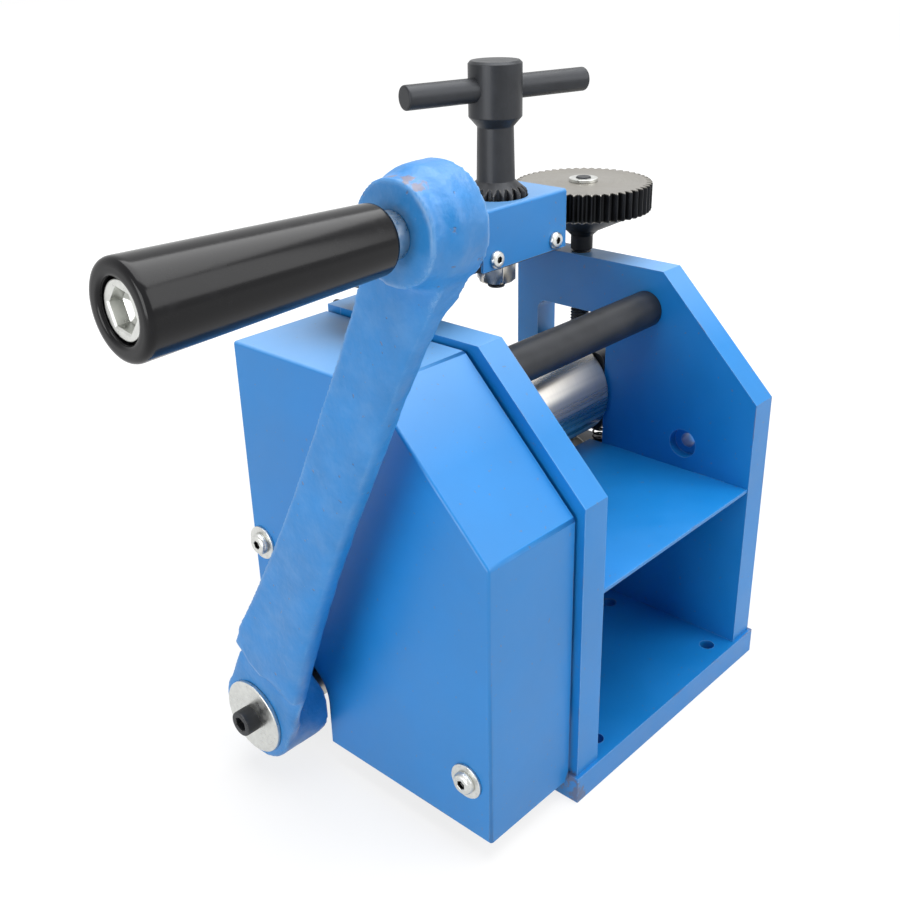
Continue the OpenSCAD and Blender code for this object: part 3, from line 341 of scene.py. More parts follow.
def welded(mesh):
    """The mesh with the points joined where its grid closes."""
    return out(mesh.tree, "GeometryNodeMergeByDistance", {"Geometry": mesh, "Distance": WELD})


def spin_group():
    """Spins a section's points round Z. Toothed rows follow an involute gear, hexagonal ones a
    key's flats, and knurled ones step in and out."""
    tree, s, end = new_tree("Spun section", "GeometryNodeTree", [
        ("Section", GEOMETRY, None), *SPIN_INPUTS], ("Mesh", GEOMETRY))
    rows = out(tree, "GeometryNodeAttributeDomainSize", {0: s["Section"]}, "Point Count")
    mesh, column, row_index = wrapped_grid(tree, s["Columns"], rows - 1)

    def sampled(value, kind="FLOAT"):
        return out(tree, "GeometryNodeSampleIndex", {
            0: s["Section"], "Value": value, "Index": row_index}, data_type=kind)

    place = sampled(out(tree, "GeometryNodeInputPosition"), "FLOAT_VECTOR")
    radius, _, height = split(place)
    kind, gloss = sampled(attribute(tree, "kind")), sampled(attribute(tree, "gloss"))

    # The place of this column in its tooth
    side_count = s["Flank Steps"] + 2
    per_tooth = side_count * 2
    in_tooth = column % per_tooth
    tooth = maths("FLOOR", column / per_tooth)
    side = (in_tooth > side_count - 0.5) * 2 - 1
    step = maths("MINIMUM", in_tooth, per_tooth - 1 - in_tooth)

    # The involute at this column
    teeth = maths("MAXIMUM", s["Teeth"], 1)
    pitch_r = s["Module"] * teeth * 0.5
    base_r = pitch_r * math.cos(PRESSURE)
    tip_r = pitch_r + s["Module"] * s["Addendum"]
    root_r = pitch_r - s["Module"] * s["Dedendum"]
    start_r = maths("MAXIMUM", base_r, root_r)
    share = (step - 1) / maths("MAXIMUM", s["Flank Steps"], 1)
    flank_r = start_r + (tip_r - start_r) * share
    tooth_r = picked(step < 0.5, flank_r, root_r)
    half = math.pi / 2 / teeth + (roll(pitch_r, base_r) - roll(tooth_r, base_r))
    half = half - s["Play"] * 0.5 / pitch_r
    tooth_turn = tooth * math.tau / teeth + side * half
    turn = picked(s["Teeth"] > 0.5, column * math.tau / s["Columns"], tooth_turn)

    flats_r = radius / maths("COSINE", turn % SIXTH - SIXTH / 2)
    knurl_r = radius - column % 2 * s["Knurl"]
    for number, other in ((TOOTHED, maths("MINIMUM", radius, tooth_r)), (HEXAGON, flats_r),
                          (KNURLED, knurl_r)):
        radius = picked(maths("COMPARE", kind, number, 0.1), radius, other)
    mesh = stored(mesh, "turned", vector(tree, radius, turn, height), "FLOAT_VECTOR")
    mesh = stored(mesh, "gloss", gloss)
    mesh = stored(mesh, "spot", polar(radius, turn, height), "FLOAT_VECTOR")
    mesh = moved(mesh, attribute(tree, "spot", "FLOAT_VECTOR"))
    mesh = out(tree, "GeometryNodeRemoveAttribute", {"Geometry": mesh, "Name": "spot"})
    plug(end.inputs[0], welded(mesh))
    return tree


def piece_tree(name, inputs):
    """The tree of a modifier, which also takes a mesh and a material."""
    return new_tree(name, "GeometryNodeTree", [
        ("Geometry", GEOMETRY, None), *inputs, ("Material", MATERIAL, None)],
        ("Geometry", GEOMETRY))


def finish_tree(end, mesh, material):
    """Ends a tree: instances made real, then the material."""
    real = out(mesh.tree, "GeometryNodeRealizeInstances", {"Geometry": mesh})
    plug(end.inputs[0], out(mesh.tree, "GeometryNodeSetMaterial", {
        "Geometry": real, "Material": material}))
    return mesh.tree


def turned_tree(spin):
    """A turned or toothed piece from the section in its own points."""
    tree, s, end = piece_tree("Turned piece", SPIN_INPUTS)
    wires = {label: s[label] for label, _, _ in SPIN_INPUTS}
    mesh = out(tree, "GeometryNodeGroup", {"Section": s["Geometry"], **wires}, node_tree=spin)
    return finish_tree(end, mesh, s["Material"])


def screws_tree(spin):
    """A socket screw at each point, with its head along the point's aim."""
    tree, s, end = piece_tree("Socket screws", [
        *((label, FLOAT, 0.0) for label in (
            "Head Radius", "Head Height", "Head Edge", "Key Half Width", "Key Depth",
            "Shank Radius", "Shank Length", "Button", "Knurl")),
        ("Seed", INT, 3)])
    head, high, edge = s["Head Radius"], s["Head Height"], s["Head Edge"]
    key, shank = s["Key Half Width"], s["Shank Radius"]
    floor, bevel, tip = high - s["Key Depth"], edge * 0.5, s["Shank Length"] * -1

    def between(cap, button):
        return picked(s["Button"], cap, button)

    rows = [
        (0.0, floor - key * 0.3, PLAIN), (key * 0.9, floor, HEXAGON),
        (key, floor + bevel * 0.5, HEXAGON), (key, high - bevel, HEXAGON),
        (key + bevel, high, HEXAGON),
        (between(head - edge * 1.3, head * 0.70), high, PLAIN),
        (between(head - edge, head * 0.80), between(high, high * 0.95), PLAIN),
        (between(head - edge * 0.3, head * 0.92),
         between(high - edge * 0.3, high * 0.72), PLAIN),
        (between(head, head * 0.98), between(high - edge, high * 0.46), KNURLED),
        (head, between(high - edge * 1.1, high * 0.24), KNURLED),
        (head, between(edge * 0.8, high * 0.06), KNURLED),
        (head - edge * 0.4, 0.0, PLAIN), (shank, 0.0, PLAIN),
        (shank, tip + edge, PLAIN), (shank - edge * 0.8, tip, PLAIN), (0.0, tip, PLAIN),
    ]
    index = out(tree, "GeometryNodeInputIndex")

    def chosen(values, kind="FLOAT"):
        """The value for this point's row."""
        node = add(tree, "GeometryNodeIndexSwitch", data_type=kind)
        while len(node.index_switch_items) < len(values):
            node.index_switch_items.new()
        for i, value in enumerate((index, *values)):
            plug(node.inputs[i], value)
        return Value(node.outputs[0])

    spots = [vector(tree, radius, 0, height) for radius, height, _ in rows]
    section = moved(out(tree, "GeometryNodeMeshLine", {"Count": len(rows)}),
                    chosen(spots, "VECTOR"))
    section = stored(section, "kind", chosen([float(kind) for _, _, kind in rows]))
    # The socket rows are marked 0 here, which the plated finish paints as shade
    section = stored(section, "gloss", chosen([float(i >= SOCKET_ROWS)
                                               for i in range(len(rows))]))
    screw = out(tree, "GeometryNodeGroup", {"Section": section, "Columns": 96,
                                            "Knurl": s["Knurl"]}, node_tree=spin)
    lean = out(tree, "FunctionNodeAlignRotationToVector", {
        "Vector": attribute(tree, "aim", "FLOAT_VECTOR")}, axis="Z")
    placed = out(tree, "GeometryNodeInstanceOnPoints", {
        "Points": s["Geometry"], "Instance": screw, "Rotation": lean})
    chance = out(tree, "FunctionNodeRandomValue", {"Seed": s["Seed"]}, 1, data_type="FLOAT")
    twist = out(tree, "FunctionNodeEulerToRotation", {
        0: vector(tree, 0, 0, chance * math.tau)})
    placed = out(tree, "GeometryNodeRotateInstances", {"Instances": placed,
                                                       "Rotation": twist})
    return finish_tree(end, placed, s["Material"])


def thread_tree():
    """A threaded rod on Z at each point, from the point up."""
    tree, s, end = piece_tree("Threaded rod", [
        ("Radius", FLOAT, 0.0), ("Depth", FLOAT, 0.0), ("Pitch", FLOAT, MM),
        ("Length", FLOAT, 0.0), ("Sides", INT, 28)])
    rows = maths("ROUND", s["Length"] / s["Pitch"] * ROWS_PER_PITCH)
    last = rows + 2
    mesh, column, row_index = wrapped_grid(tree, s["Sides"], last)
    turn = column * math.tau / s["Sides"]
    inner = maths("MINIMUM", maths("MAXIMUM", row_index - 1, 0), rows)
    height = s["Length"] * (inner / rows)
    groove = maths("PINGPONG", height / s["Pitch"] - turn / math.tau, 0.5) * 2
    # The thread fades over its first and last turns
    from_end = maths("MINIMUM", inner, rows - inner)
    faded = 1 - maths("MINIMUM", from_end / (ROWS_PER_PITCH / 2), 1)
    radius = s["Radius"] - s["Depth"] * maths("MAXIMUM", groove, faded)
    # The first and last rows close the rod's ends
    radius = radius * ((row_index > 0.5) * (row_index < last - 0.5))
    rod_mesh = moved(stored(mesh, "gloss", 0.0), polar(radius, turn, height))
    placed = out(tree, "GeometryNodeInstanceOnPoints", {"Points": s["Geometry"],
                                                        "Instance": welded(rod_mesh)})
    return finish_tree(end, placed, s["Material"])


def spring_tree():
    """A coil spring on Z at each point, from the point up."""
    tree, s, end = piece_tree("Coil springs", [
        ("Coil Radius", FLOAT, 0.0), ("Wire Radius", FLOAT, 0.0), ("Height", FLOAT, 0.0),
        ("Turns", FLOAT, 5.0)])
    wire = s["Wire Radius"]
    path = out(tree, "GeometryNodeCurveSpiral", {
        "Resolution": 20, "Rotations": s["Turns"], "Start Radius": s["Coil Radius"],
        "End Radius": s["Coil Radius"], "Height": s["Height"] - wire * 2})
    path = out(tree, "GeometryNodeSetPosition", {"Geometry": path,
                                                 "Offset": vector(tree, 0, 0, wire)})
    circle = out(tree, "GeometryNodeCurvePrimitiveCircle", {"Resolution": 10,
                                                            "Radius": wire})
    coil = out(tree, "GeometryNodeCurveToMesh", {"Curve": path, "Profile Curve": circle,
                                                 "Fill Caps": True})
    placed = out(tree, "GeometryNodeInstanceOnPoints", {"Points": s["Geometry"],
                                                        "Instance": coil})
    return finish_tree(end, placed, s["Material"])


# Turning trees, sections and CAD copies into finished pieces

TREES, EFFECTS, FINISHES = {}, {}, {}


def linked(name, data):
    """A new object in the scene."""
    obj = bpy.data.objects.new(name, data)
    bpy.context.scene.collection.objects.link(obj)
    return obj


def mesh_of(bm, name):
    """A mesh from an edit mesh, which goes."""
    mesh = bpy.data.meshes.new(name)
    bm.to_mesh(mesh)
    bm.free()
    return mesh


def evaluated(obj):
    """Plain mesh of an object with its modifiers applied. The object goes."""
    bpy.context.view_layer.update()
    graph = bpy.context.evaluated_depsgraph_get()
    mesh = bpy.data.meshes.new_from_object(obj.evaluated_get(graph),
                                           preserve_all_data_layers=True, depsgraph=graph)
    obj.modifiers.clear()
    old = obj.data
    bpy.data.objects.remove(obj)
    bpy.data.meshes.remove(old)
    return mesh


def grown(tree, mesh, **inputs):
    """Mesh that a Geometry Nodes tree makes from a mesh and its named inputs."""
    obj = linked("Seed", mesh)
    modifier = obj.modifiers.new("Nodes", "NODES")
    modifier.node_group = tree
    names = {item.name: item.identifier for item in tree.interface.items_tree
             if item.item_type == "SOCKET" and item.in_out == "INPUT"}
    for label, value in inputs.items():
        modifier[names[label.replace("_", " ").title()]] = value
    return evaluated(obj)


def points_mesh(points, aims=None, **floats):
    """Mesh of loose points in metres from places in millimetres, with their attributes."""
    mesh = bpy.data.meshes.new("Points")
    mesh.from_pydata([Vector(p) * MM for p in points], [], [])
    if aims:
        mesh.attributes.new("aim", "FLOAT_VECTOR", "POINT")
        mesh.attributes["aim"].data.foreach_set("vector", [c for aim in aims for c in aim])
    for label, values in floats.items():
        mesh.attributes.new(label, "FLOAT", "POINT")
        mesh.attributes[label].data.foreach_set("value", [float(v) for v in values])
    return mesh


def row(radius, height, fillet=0.0, kind=PLAIN, gloss=1.0):
    """One corner of a section."""
    return radius, height, fillet, kind, gloss


def dull(radius, height, fillet=0.0, kind=PLAIN):
    """One corner of a section whose finish is dark there."""
    return radius, height, fillet, kind, 0.0


def rounded(corners, steps=4):
    """Rows of a section whose corners are rounded by their fillets, with a supporting row
    close to each end of a rounding so that flats stay flat in the light."""
    rows = []
    for i, (radius, height, fillet, kind, gloss) in enumerate(corners):
        here = Vector((radius, height))
        if fillet <= 0 or i in (0, len(corners) - 1):
            rows.append((radius, height, kind, gloss))
            continue
        arms = [Vector(corners[j][:2]) - here for j in (i - 1, i + 1)]
        cosine = arms[0].normalized().dot(arms[1].normalized())
        half_turn = math.acos(max(-1.0, min(1.0, cosine))) / 2
        reach = min(fillet / math.tan(half_turn), *(0.46 * a.length for a in arms))
        ends = [here + a.normalized() * reach for a in arms]
        support = [here + a.normalized() * min(reach * 1.35, 0.49 * a.length) for a in arms]
        curve = []
        for k in range(steps + 1):
            t = k / steps
            curve.append(ends[0] * (1 - t) ** 2 + here * 2 * t * (1 - t) + ends[1] * t ** 2)
        rows += [(*spot, kind, gloss) for spot in (support[0], *curve, support[1])]
    return rows


def spun(corners, columns=96, teeth=0, flank_steps=3, module=1.0, play=0.0, addendum=1.0,
         dedendum=1.25, steps=4):
    """Mesh of a section spun round Z."""
    rows = rounded(corners, steps)
    seed = points_mesh([(r, 0, h) for r, h, _, _ in rows], kind=[k for _, _, k, _ in rows],
                       gloss=[g for _, _, _, g in rows])
    if teeth:
        columns = teeth * 2 * (flank_steps + 2)
    return grown(TREES["turned"], seed, columns=columns, teeth=teeth, flank_steps=flank_steps,
                 module=module * MM, play=play * MM, addendum=addendum, dedendum=dedendum)


def laid(mesh, at, axis="Z", turn=0.0):
    """The mesh turned about its own axis, laid along a direction and moved to a place."""
    lay = Matrix(TURNS[axis]).to_4x4() if isinstance(axis, str) else axis
    mesh.transform(Matrix.Translation(Vector(at) * MM) @ lay @ Matrix.Rotation(turn, 4, "Z"))
    return mesh


def joined(*meshes):
    """One mesh from several."""
    bm = bmesh.new()
    for mesh in meshes:
        bm.from_mesh(mesh)
        bpy.data.meshes.remove(mesh)
    return mesh_of(bm, "Joined")


def copies(mesh, places, axis="Z"):
    """One mesh with a copy of a mesh at each place, all laid the same way."""
    return joined(*(laid(mesh.copy(), place, axis) for place in places))


def screws(places, aims, thread, shank, button=False, knurl=0.0, seed=3):
    """Mesh of socket screws with their heads seated at the places."""
    wide, tall, key, deep = BUTTON_SHARES if button else CAP_SHARES
    high = thread * tall
    return grown(
        TREES["screws"], points_mesh(places, [AIMS[aim] for aim in aims]),
        head_radius=thread * wide / 2 * MM, head_height=high * MM,
        head_edge=thread * 0.1 * MM, key_half_width=thread * key / 2 * MM,
        key_depth=high * deep * MM, shank_radius=thread / 2 * MM, shank_length=shank * MM,
        button=float(button), knurl=knurl * MM, seed=seed)


def threaded(foot, top, radius, depth, pitch, x=0.0):
    """Mesh of an upright threaded rod. Depth and pitch are in metres."""
    return grown(TREES["thread"], points_mesh([(x, AXIS_Y, foot)]), radius=radius * MM,
                 depth=depth, pitch=pitch, length=(top - foot) * MM)


def piece(name, node, mesh, finish, smooth=38.0, rides=True, recalculate=True):
    """A finished piece that stands for a CAD node and, if it rides, moves with its body."""
    if recalculate:
        bm = bmesh.new()
        bm.from_mesh(mesh)
        bmesh.ops.recalc_face_normals(bm, faces=bm.faces)
        bm.to_mesh(mesh)
        bm.free()
    mesh.name = name
    mesh.materials.clear()
    mesh.materials.append(FINISHES[finish])
    mesh.polygons.foreach_set("material_index", [0] * len(mesh.polygons))
    if smooth:
        mesh.shade_smooth()
        mesh.set_sharp_from_angle(angle=math.radians(smooth))
    obj = linked(name, mesh)
    if rides:
        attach(obj, frame["nodes"][node]["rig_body"])
    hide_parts(node)
    return obj


def cad_copy(node):
    """Editable copy of a CAD node: its loose triangles merged and its flats made whole."""
    bm = bmesh.new()
    bm.from_mesh(frame["nodes"][node].data)
    bmesh.ops.remove_doubles(bm, verts=bm.verts, dist=WELD)
    bmesh.ops.dissolve_limit(bm, angle_limit=math.radians(0.5), verts=bm.verts, edges=bm.edges)
    return bm


def softened(node, *rules):
    """Mesh copied from a CAD node with its sharp edges rounded. A rule is (radius, segments),
    with a test of an edge's middle and direction if it isn't for all the edges left."""
    bm = cad_copy(node)
    for radius, segments, *tests in rules:
        edges = []
        for edge in bm.edges:
            if (edge.tag or len(edge.link_faces) != 2
                    or edge.calc_face_angle(0) < math.radians(28)):
                continue
            middle = (edge.verts[0].co + edge.verts[1].co) / 2 / MM
            along = (edge.verts[1].co - edge.verts[0].co).normalized()
            if all(test(middle, along) for test in tests):
                edges.append(edge)
        result = bmesh.ops.bevel(bm, geom=edges, offset=radius * MM, offset_type="OFFSET",
                                 segments=segments, profile=0.5, affect="EDGES",
                                 clamp_overlap=True)
        for face in result["faces"]:
            for edge in face.edges:
                edge.tag = True
    mesh = mesh_of(bm, node)
    mesh.shade_smooth()
    obj = linked("Softened", mesh)
    weights = obj.modifiers.new("Normals", "WEIGHTED_NORMAL")
    weights.keep_sharp = False
    weights.weight = 100
    return evaluated(obj)


def soft_piece(name, node, finish, *rules):
    """A finished piece that is its CAD node with rounded edges."""
    piece(name, node, softened(node, *rules), finish, smooth=0, recalculate=False)


# Shader groups: masks, values and heights that more than one finish uses

def object_place(tree):
    """The place on the object, in metres."""
    return out(tree, "ShaderNodeTexCoord", pick="Object")


def cloudy(place, scale, detail, roughness=0.5):
    """Noise at a place."""
    return out(place.tree, "ShaderNodeTexNoise", {
        "Vector": place, "Scale": scale, "Detail": detail, "Roughness": roughness})


def mesh_value(tree, label, pick="Fac"):
    """An attribute of the mesh in a shader."""
    return out(tree, "ShaderNodeAttribute", pick=pick, attribute_name=label)


def effect_tree(name, output, **inputs):
    """The tree of a shared effect, whose inputs are numbers with their defaults."""
    return new_tree(name, "ShaderNodeTree", [
        (label.replace("_", " ").title(), FLOAT, value) for label, value in inputs.items()],
        (output, FLOAT))


def patches_group():
    """Soft patches: a noise cut between two levels."""
    tree, s, end = effect_tree("Patches", "Mask", scale=40.0, detail=5.0, low=0.4, high=0.6)
    wave = cloudy(object_place(tree), s["Scale"], s["Detail"], 0.6)
    plug(end.inputs[0], ranged(wave, s["Low"], s["High"]))
    return tree


def wear_group():
    """Mask of edges, for rubbed paint and for the painted highlight on the crank's rims: where
    the rounded normal leaves the real one, broken up by noise.
    """
    tree, s, end = effect_tree("Edge wear", "Mask", radius=MM, amount=1.0, grain=150.0)
    soft = out(tree, "ShaderNodeBevel", {"Radius": s["Radius"]}, samples=4)
    hard = out(tree, "ShaderNodeNewGeometry", pick="Normal")
    bend = 1.0 - vector_maths(tree, "DOT_PRODUCT", soft, hard)
    grain = cloudy(object_place(tree), s["Grain"], 4.0)
    plug(end.inputs[0], ranged(bend * 6.0 * s["Amount"] - grain * 0.9, 0.0, 0.5))
    return tree


def skin_group():
    """Height of a coat of paint or a skin: broad waves with a fine peel on them."""
    tree, s, end = effect_tree("Skin", "Height", wave_scale=90.0, wave=0.3,
                               peel_scale=900.0, peel=0.1)
    place = object_place(tree)
    plug(end.inputs[0], cloudy(place, s["Wave Scale"], 3.0) * s["Wave"]
         + cloudy(place, s["Peel Scale"], 2.0) * s["Peel"])
    return tree


def lathe_group():
    """Fine lines round the axis of a turned piece, from the place stored on its mesh."""
    tree, s, end = effect_tree("Lathe lines", "Line", lines=2500.0, sweep=1.5)
    radius, turn, height = split(mesh_value(tree, "turned", "Vector"))
    place = vector(tree, radius * s["Lines"], maths("SINE", turn) * s["Sweep"],
                   height * s["Lines"])
    plug(end.inputs[0], cloudy(place, 1.0, 3.0))
    return tree


def effect(tree, name, **inputs):
    """A shared effect placed in a material: its output."""
    return out(tree, "ShaderNodeGroup", {
        label.replace("_", " ").title(): value for label, value in inputs.items()},
        node_tree=EFFECTS[name])


# Finishes

def mixed(share, first, second):
    """The second colour over the first."""
    first, second = (colour if isinstance(colour, Value) else (*colour, 1.0)
                     for colour in (first, second))
    return out(share.tree, "ShaderNodeMix", {0: share, 6: first, 7: second}, 2,
               data_type="RGBA")


def blended(share, low, high):
    """A value between low and high."""
    return ranged(share, 0.0, 1.0, low, high)


def shade(colour, factor):
    """A colour made darker or lighter."""
    return tuple(min(1.0, c * factor) for c in colour)


def shades(share, colour, dark, light):
    """A colour between its darker and its lighter shade."""
    return mixed(share, shade(colour, dark), shade(colour, light))


def new_finish(name, metallic=0.0, **constants):
    """A material with its Principled shader. Values that don't vary sit on its own sockets."""
    material = bpy.data.materials.new(name)
    material.use_nodes = True
    tree = material.node_tree
    tree.nodes.clear()
    end = tree.nodes.new("ShaderNodeOutputMaterial")
    shader = add(tree, "ShaderNodeBsdfPrincipled", {"Metallic": metallic})
    for label, value in constants.items():
        shader.inputs[label.replace("_", " ")].default_value = value
    tree.links.new(shader.outputs[0], end.inputs[0])
    FINISHES[name] = material
    return tree, shader


def dress(shader, colour, roughness, height, strength, distance):
    """Plugs a shader's colour and roughness, and a bump from a height on its normal."""
    plug(shader.inputs["Base Color"], colour)
    plug(shader.inputs["Roughness"], roughness)
    plug(shader.inputs["Normal"], out(height.tree, "ShaderNodeBump", {
        "Height": height, "Strength": strength, "Distance": distance * MM}))


def painted_top_sheen(tree, most):
    """Share of painted sheen: a paler colour on faces high on the mill that look up, standing
    for the light from above on them.
    """
    up = split(out(tree, "ShaderNodeNewGeometry", pick="Normal"))[2]
    high = split(object_place(tree))[2]
    return ranged(high, 160 * MM, 185 * MM, 0.0, ranged(up, 0.3, 1.0, 0.0, most))


def stained(tree, spots):
    """Mask of broken stains round a few places."""
    mask = 0.0
    for at, reach in spots:
        away = vector_maths(tree, "DISTANCE", object_place(tree), Vector(at) * MM)
        mask = maths("MAXIMUM", ranged(away, 0.0, reach * MM, 1.0, 0.0), mask)
    broken = effect(tree, "patches", scale=240.0, detail=4.0, low=0.35, high=0.65)
    level = (mask + broken - 0.75) * 3.0
    return maths("MINIMUM", maths("MAXIMUM", level, 0.0), 1.0) * (mask > 0.01)


def painted_finish(colours):
    """Satin blue powder coat: faint patches, a painted sheen that makes the high tops paler,
    rubbed arrises, brown specks and a few stained corners."""
    tree, shader = new_finish("blue_paint", IOR=1.5, Specular_IOR_Level=0.6)
    patches = effect(tree, "patches", scale=14.0, detail=4.0, low=0.3, high=0.7)
    colour = shades(patches, colours.paint, 0.93, 1.07)
    # Painted sheen: high faces that look up are mixed towards the paler paint
    colour = mixed(painted_top_sheen(tree, 0.42), colour, colours.worn_paint_and_sheen)
    rub = effect(tree, "wear", radius=0.8 * MM, amount=0.75, grain=260.0)
    colour = mixed(rub * 0.55, colour, colours.worn_paint_and_sheen)
    colour = mixed(stained(tree, STAINS) * 0.6, colour, shade(colours.rust, 0.6))
    chips = effect(tree, "wear", radius=1.6 * MM, amount=0.62, grain=75.0)
    chips = chips * effect(tree, "patches", scale=33.0, detail=3.0, low=0.56, high=0.62)
    specks = effect(tree, "patches", scale=420.0, detail=2.0, low=0.70, high=0.73)
    colour = mixed(maths("MAXIMUM", chips * 0.8, specks * 0.35), colour, colours.rust)
    sheen = effect(tree, "patches", scale=55.0, detail=5.0, low=0.3, high=0.7)
    skin = effect(tree, "skin", wave_scale=160.0, wave=0.25, peel_scale=1100.0, peel=0.10)
    dress(shader, colour, blended(sheen, 0.36, 0.46), skin, 0.35, 0.12)


def cast_finish(colours):
    """Brushed paint over a rough casting: lumps, pits, pale rims that are partly rubbed paint
    and partly a painted highlight, and brown stains.
    """
    tree, shader = new_finish("cast_blue_paint", IOR=1.5, Specular_IOR_Level=0.65)
    patches = effect(tree, "patches", scale=45.0, detail=6.0, low=0.35, high=0.68)
    colour = shades(patches, colours.cast_paint, 0.92, 1.08)
    haze = effect(tree, "patches", scale=85.0, detail=6.0, low=0.45, high=0.80)
    colour = mixed(haze * 0.16, colour, colours.worn_paint_and_sheen)
    # Pale rims: partly rubbed paint, partly a painted highlight along the crank's edges
    rub = effect(tree, "wear", radius=1.6 * MM, amount=7.0, grain=160.0)
    colour = mixed(rub * 0.6, colour, colours.worn_paint_and_sheen)
    stains = effect(tree, "wear", radius=4 * MM, amount=1.1, grain=60.0)
    stains = stains * effect(tree, "patches", scale=26.0, detail=6.0, low=0.56, high=0.64)
    stains = maths("MAXIMUM", stains, stained(tree, CAST_STAINS))
    pits = effect(tree, "patches", scale=300.0, detail=2.0, low=0.69, high=0.74)
    colour = mixed(maths("MAXIMUM", stains * 0.7, pits * 0.45), colour, colours.rust)
    skin = effect(tree, "skin", wave_scale=140.0, wave=1.0, peel_scale=520.0, peel=0.35)
    dress(shader, colour, blended(patches, 0.36, 0.52), skin - pits * 0.5, 0.9, 0.5)


def oxide_finish(colours):
    """Black oxide on turned steel, a little rubbed at the edges."""
    tree, shader = new_finish("black_oxide", metallic=0.55)
    patches = effect(tree, "patches", scale=90.0, detail=5.0, low=0.3, high=0.7)
    rub = effect(tree, "wear", radius=0.7 * MM, amount=0.8, grain=200.0)
    colour = mixed(rub * 0.5, shades(patches, colours.blackened, 0.8, 1.2),
                   shade(colours.bright, 0.45))
    line = effect(tree, "lathe", lines=1800.0, sweep=1.0)
    skin = effect(tree, "skin", wave_scale=300.0, wave=0.1, peel_scale=2500.0, peel=0.3)
    dress(shader, colour, blended(patches, 0.36, 0.50), line * 0.5 + skin, 0.3, 0.04)


def gear_finish(colours):
    """Gears: black teeth, and brighter turned faces with their lathe lines."""
    tree, shader = new_finish("gear_steel", metallic=0.8)
    face = mesh_value(tree, "gloss")
    line = effect(tree, "lathe", lines=1500.0, sweep=2.0)
    patches = effect(tree, "patches", scale=110.0, detail=5.0, low=0.3, high=0.7)
    colour = mixed(face, shades(patches, colours.blackened, 0.32, 0.6),
                   shades(line, colours.bright, 0.34, 0.52))
    dress(shader, colour, blended(face, 0.42, 0.34) + patches * 0.08, line, 0.35, 0.05)


def steel_finish(name, colour, roughness, lines, line_bump, patchy, mottle=0.0, uneven=0.0):
    """Bare or plated metal with turning or grinding lines. Key sockets get a painted shade:
    their colour is nearly black. An uneven finish has rougher and smoother patches."""
    tree, shader = new_finish(name, metallic=1.0)
    patches = effect(tree, "patches", scale=420.0 if mottle else 120.0, detail=4.0,
                     low=0.35, high=0.65)
    line = effect(tree, "lathe", lines=lines, sweep=0.8)
    tone = patches * patchy + line * (1.0 - patchy)
    # Painted shade: key sockets, marked 0, are nearly black
    colour = mixed(mesh_value(tree, "gloss"), shade(colour, 0.05),
                   shades(tone, colour, 0.84, 1.06))
    low, high = roughness - 0.04 * uneven, roughness + 0.08 * uneven
    dress(shader, colour, blended(patches, low, high), line * line_bump + patches * mottle,
          0.4, 0.04)


def roller_finish(colours):
    """Ground rollers: grinding lines round them, and painted reflection bands along them."""
    tree, shader = new_finish("polished_steel", metallic=1.0, Anisotropic=0.9,
                              Tangent=AIMS["X"])
    turn = split(mesh_value(tree, "turned", "Vector"))[1]
    around = vector(tree, maths("COSINE", turn), maths("SINE", turn), 0)
    # Painted reflection: the colour runs lighter and darker round the roller in bands along it
    share = ranged(cloudy(around, 3.2, 2.0, 0.55), 0.4, 0.6)
    line = effect(tree, "lathe", lines=5200.0, sweep=0.8)
    dress(shader, shades(share * 0.75 + line * 0.25, colours.rolled, 0.5, 1.3),
          blended(share, 0.24, 0.34), line, 0.3, 0.03)


def plastic_finish(colours):
    """Glossy black moulding with faint scuffs."""
    tree, shader = new_finish("black_plastic", Specular_IOR_Level=0.2)
    scuffs = effect(tree, "patches", scale=160.0, detail=6.0, low=0.55, high=0.80)
    skin = effect(tree, "skin", wave_scale=110.0, wave=0.3, peel_scale=1500.0, peel=0.05)
    dress(shader, shades(scuffs, colours.plastic, 1.0, 1.7), blended(scuffs, 0.17, 0.24), skin,
          0.25, 0.08)


class MILL_OT_workshop(bpy.types.Operator):
    """Builds the node trees and the finishes that the pieces share"""

    bl_idname = "mill.workshop"
    bl_label = "Trees and finishes"

    def execute(self, context):
        colours = context.scene.mill_colours
        spin = spin_group()
        TREES.update(turned=turned_tree(spin), screws=screws_tree(spin), thread=thread_tree(),
                     springs=spring_tree())
        EFFECTS.update(patches=patches_group(), wear=wear_group(), skin=skin_group(),
                       lathe=lathe_group())
        for finish in (painted_finish, cast_finish, oxide_finish, gear_finish, roller_finish,
                       plastic_finish):
            finish(colours)
        steel_finish("ground_steel", shade(colours.bright, 0.8), 0.32, 2600.0, 0.8, 0.4,
                     uneven=0.7)
        steel_finish("zinc_plate", shade(colours.zinc, 0.85), 0.30, 900.0, 0.15, 0.7,
                     mottle=0.5, uneven=1.0)
        steel_finish("bearing_bronze", colours.bronze, 0.30, 2200.0, 0.7, 0.4)
        return {"FINISHED"}


# Sections, and the meshes of plain rings, rods and gears

def ring_section(inner, outer, height, edge):
    """A washer or bush, with the ends of its section hidden in the bore."""
    return [row(inner, height / 2), row(inner, 0, edge), row(outer, 0, edge),
            row(outer, height, edge), row(inner, height, edge), row(inner, height / 2)]


def rod_section(radius, start, end, edge):
    """A solid rod with rounded ends."""
    return [row(0, start), row(radius, start, edge), row(radius, end, edge), row(0, end)]


def ring(inner, outer, height, edge, at, axis="Z"):
    """Mesh of a washer or bush laid at a place."""
    return laid(spun(ring_section(inner, outer, height, edge)), at, axis)


def rod(radius, start, end, edge, at, axis="Z"):
    """Mesh of a rod laid at a place."""
    return laid(spun(rod_section(radius, start, end, edge)), at, axis)


def tooth_rows(tip, low, high, bevel=0.45):
    """The toothed part of a gear's section: bright bevelled rims round dark flanks."""
    return [row(tip - bevel, low, 0, TOOTHED), dull(tip, low + bevel, 0, TOOTHED),
            dull(tip, high - bevel, 0, TOOTHED), row(tip - bevel, high, 0, TOOTHED)]


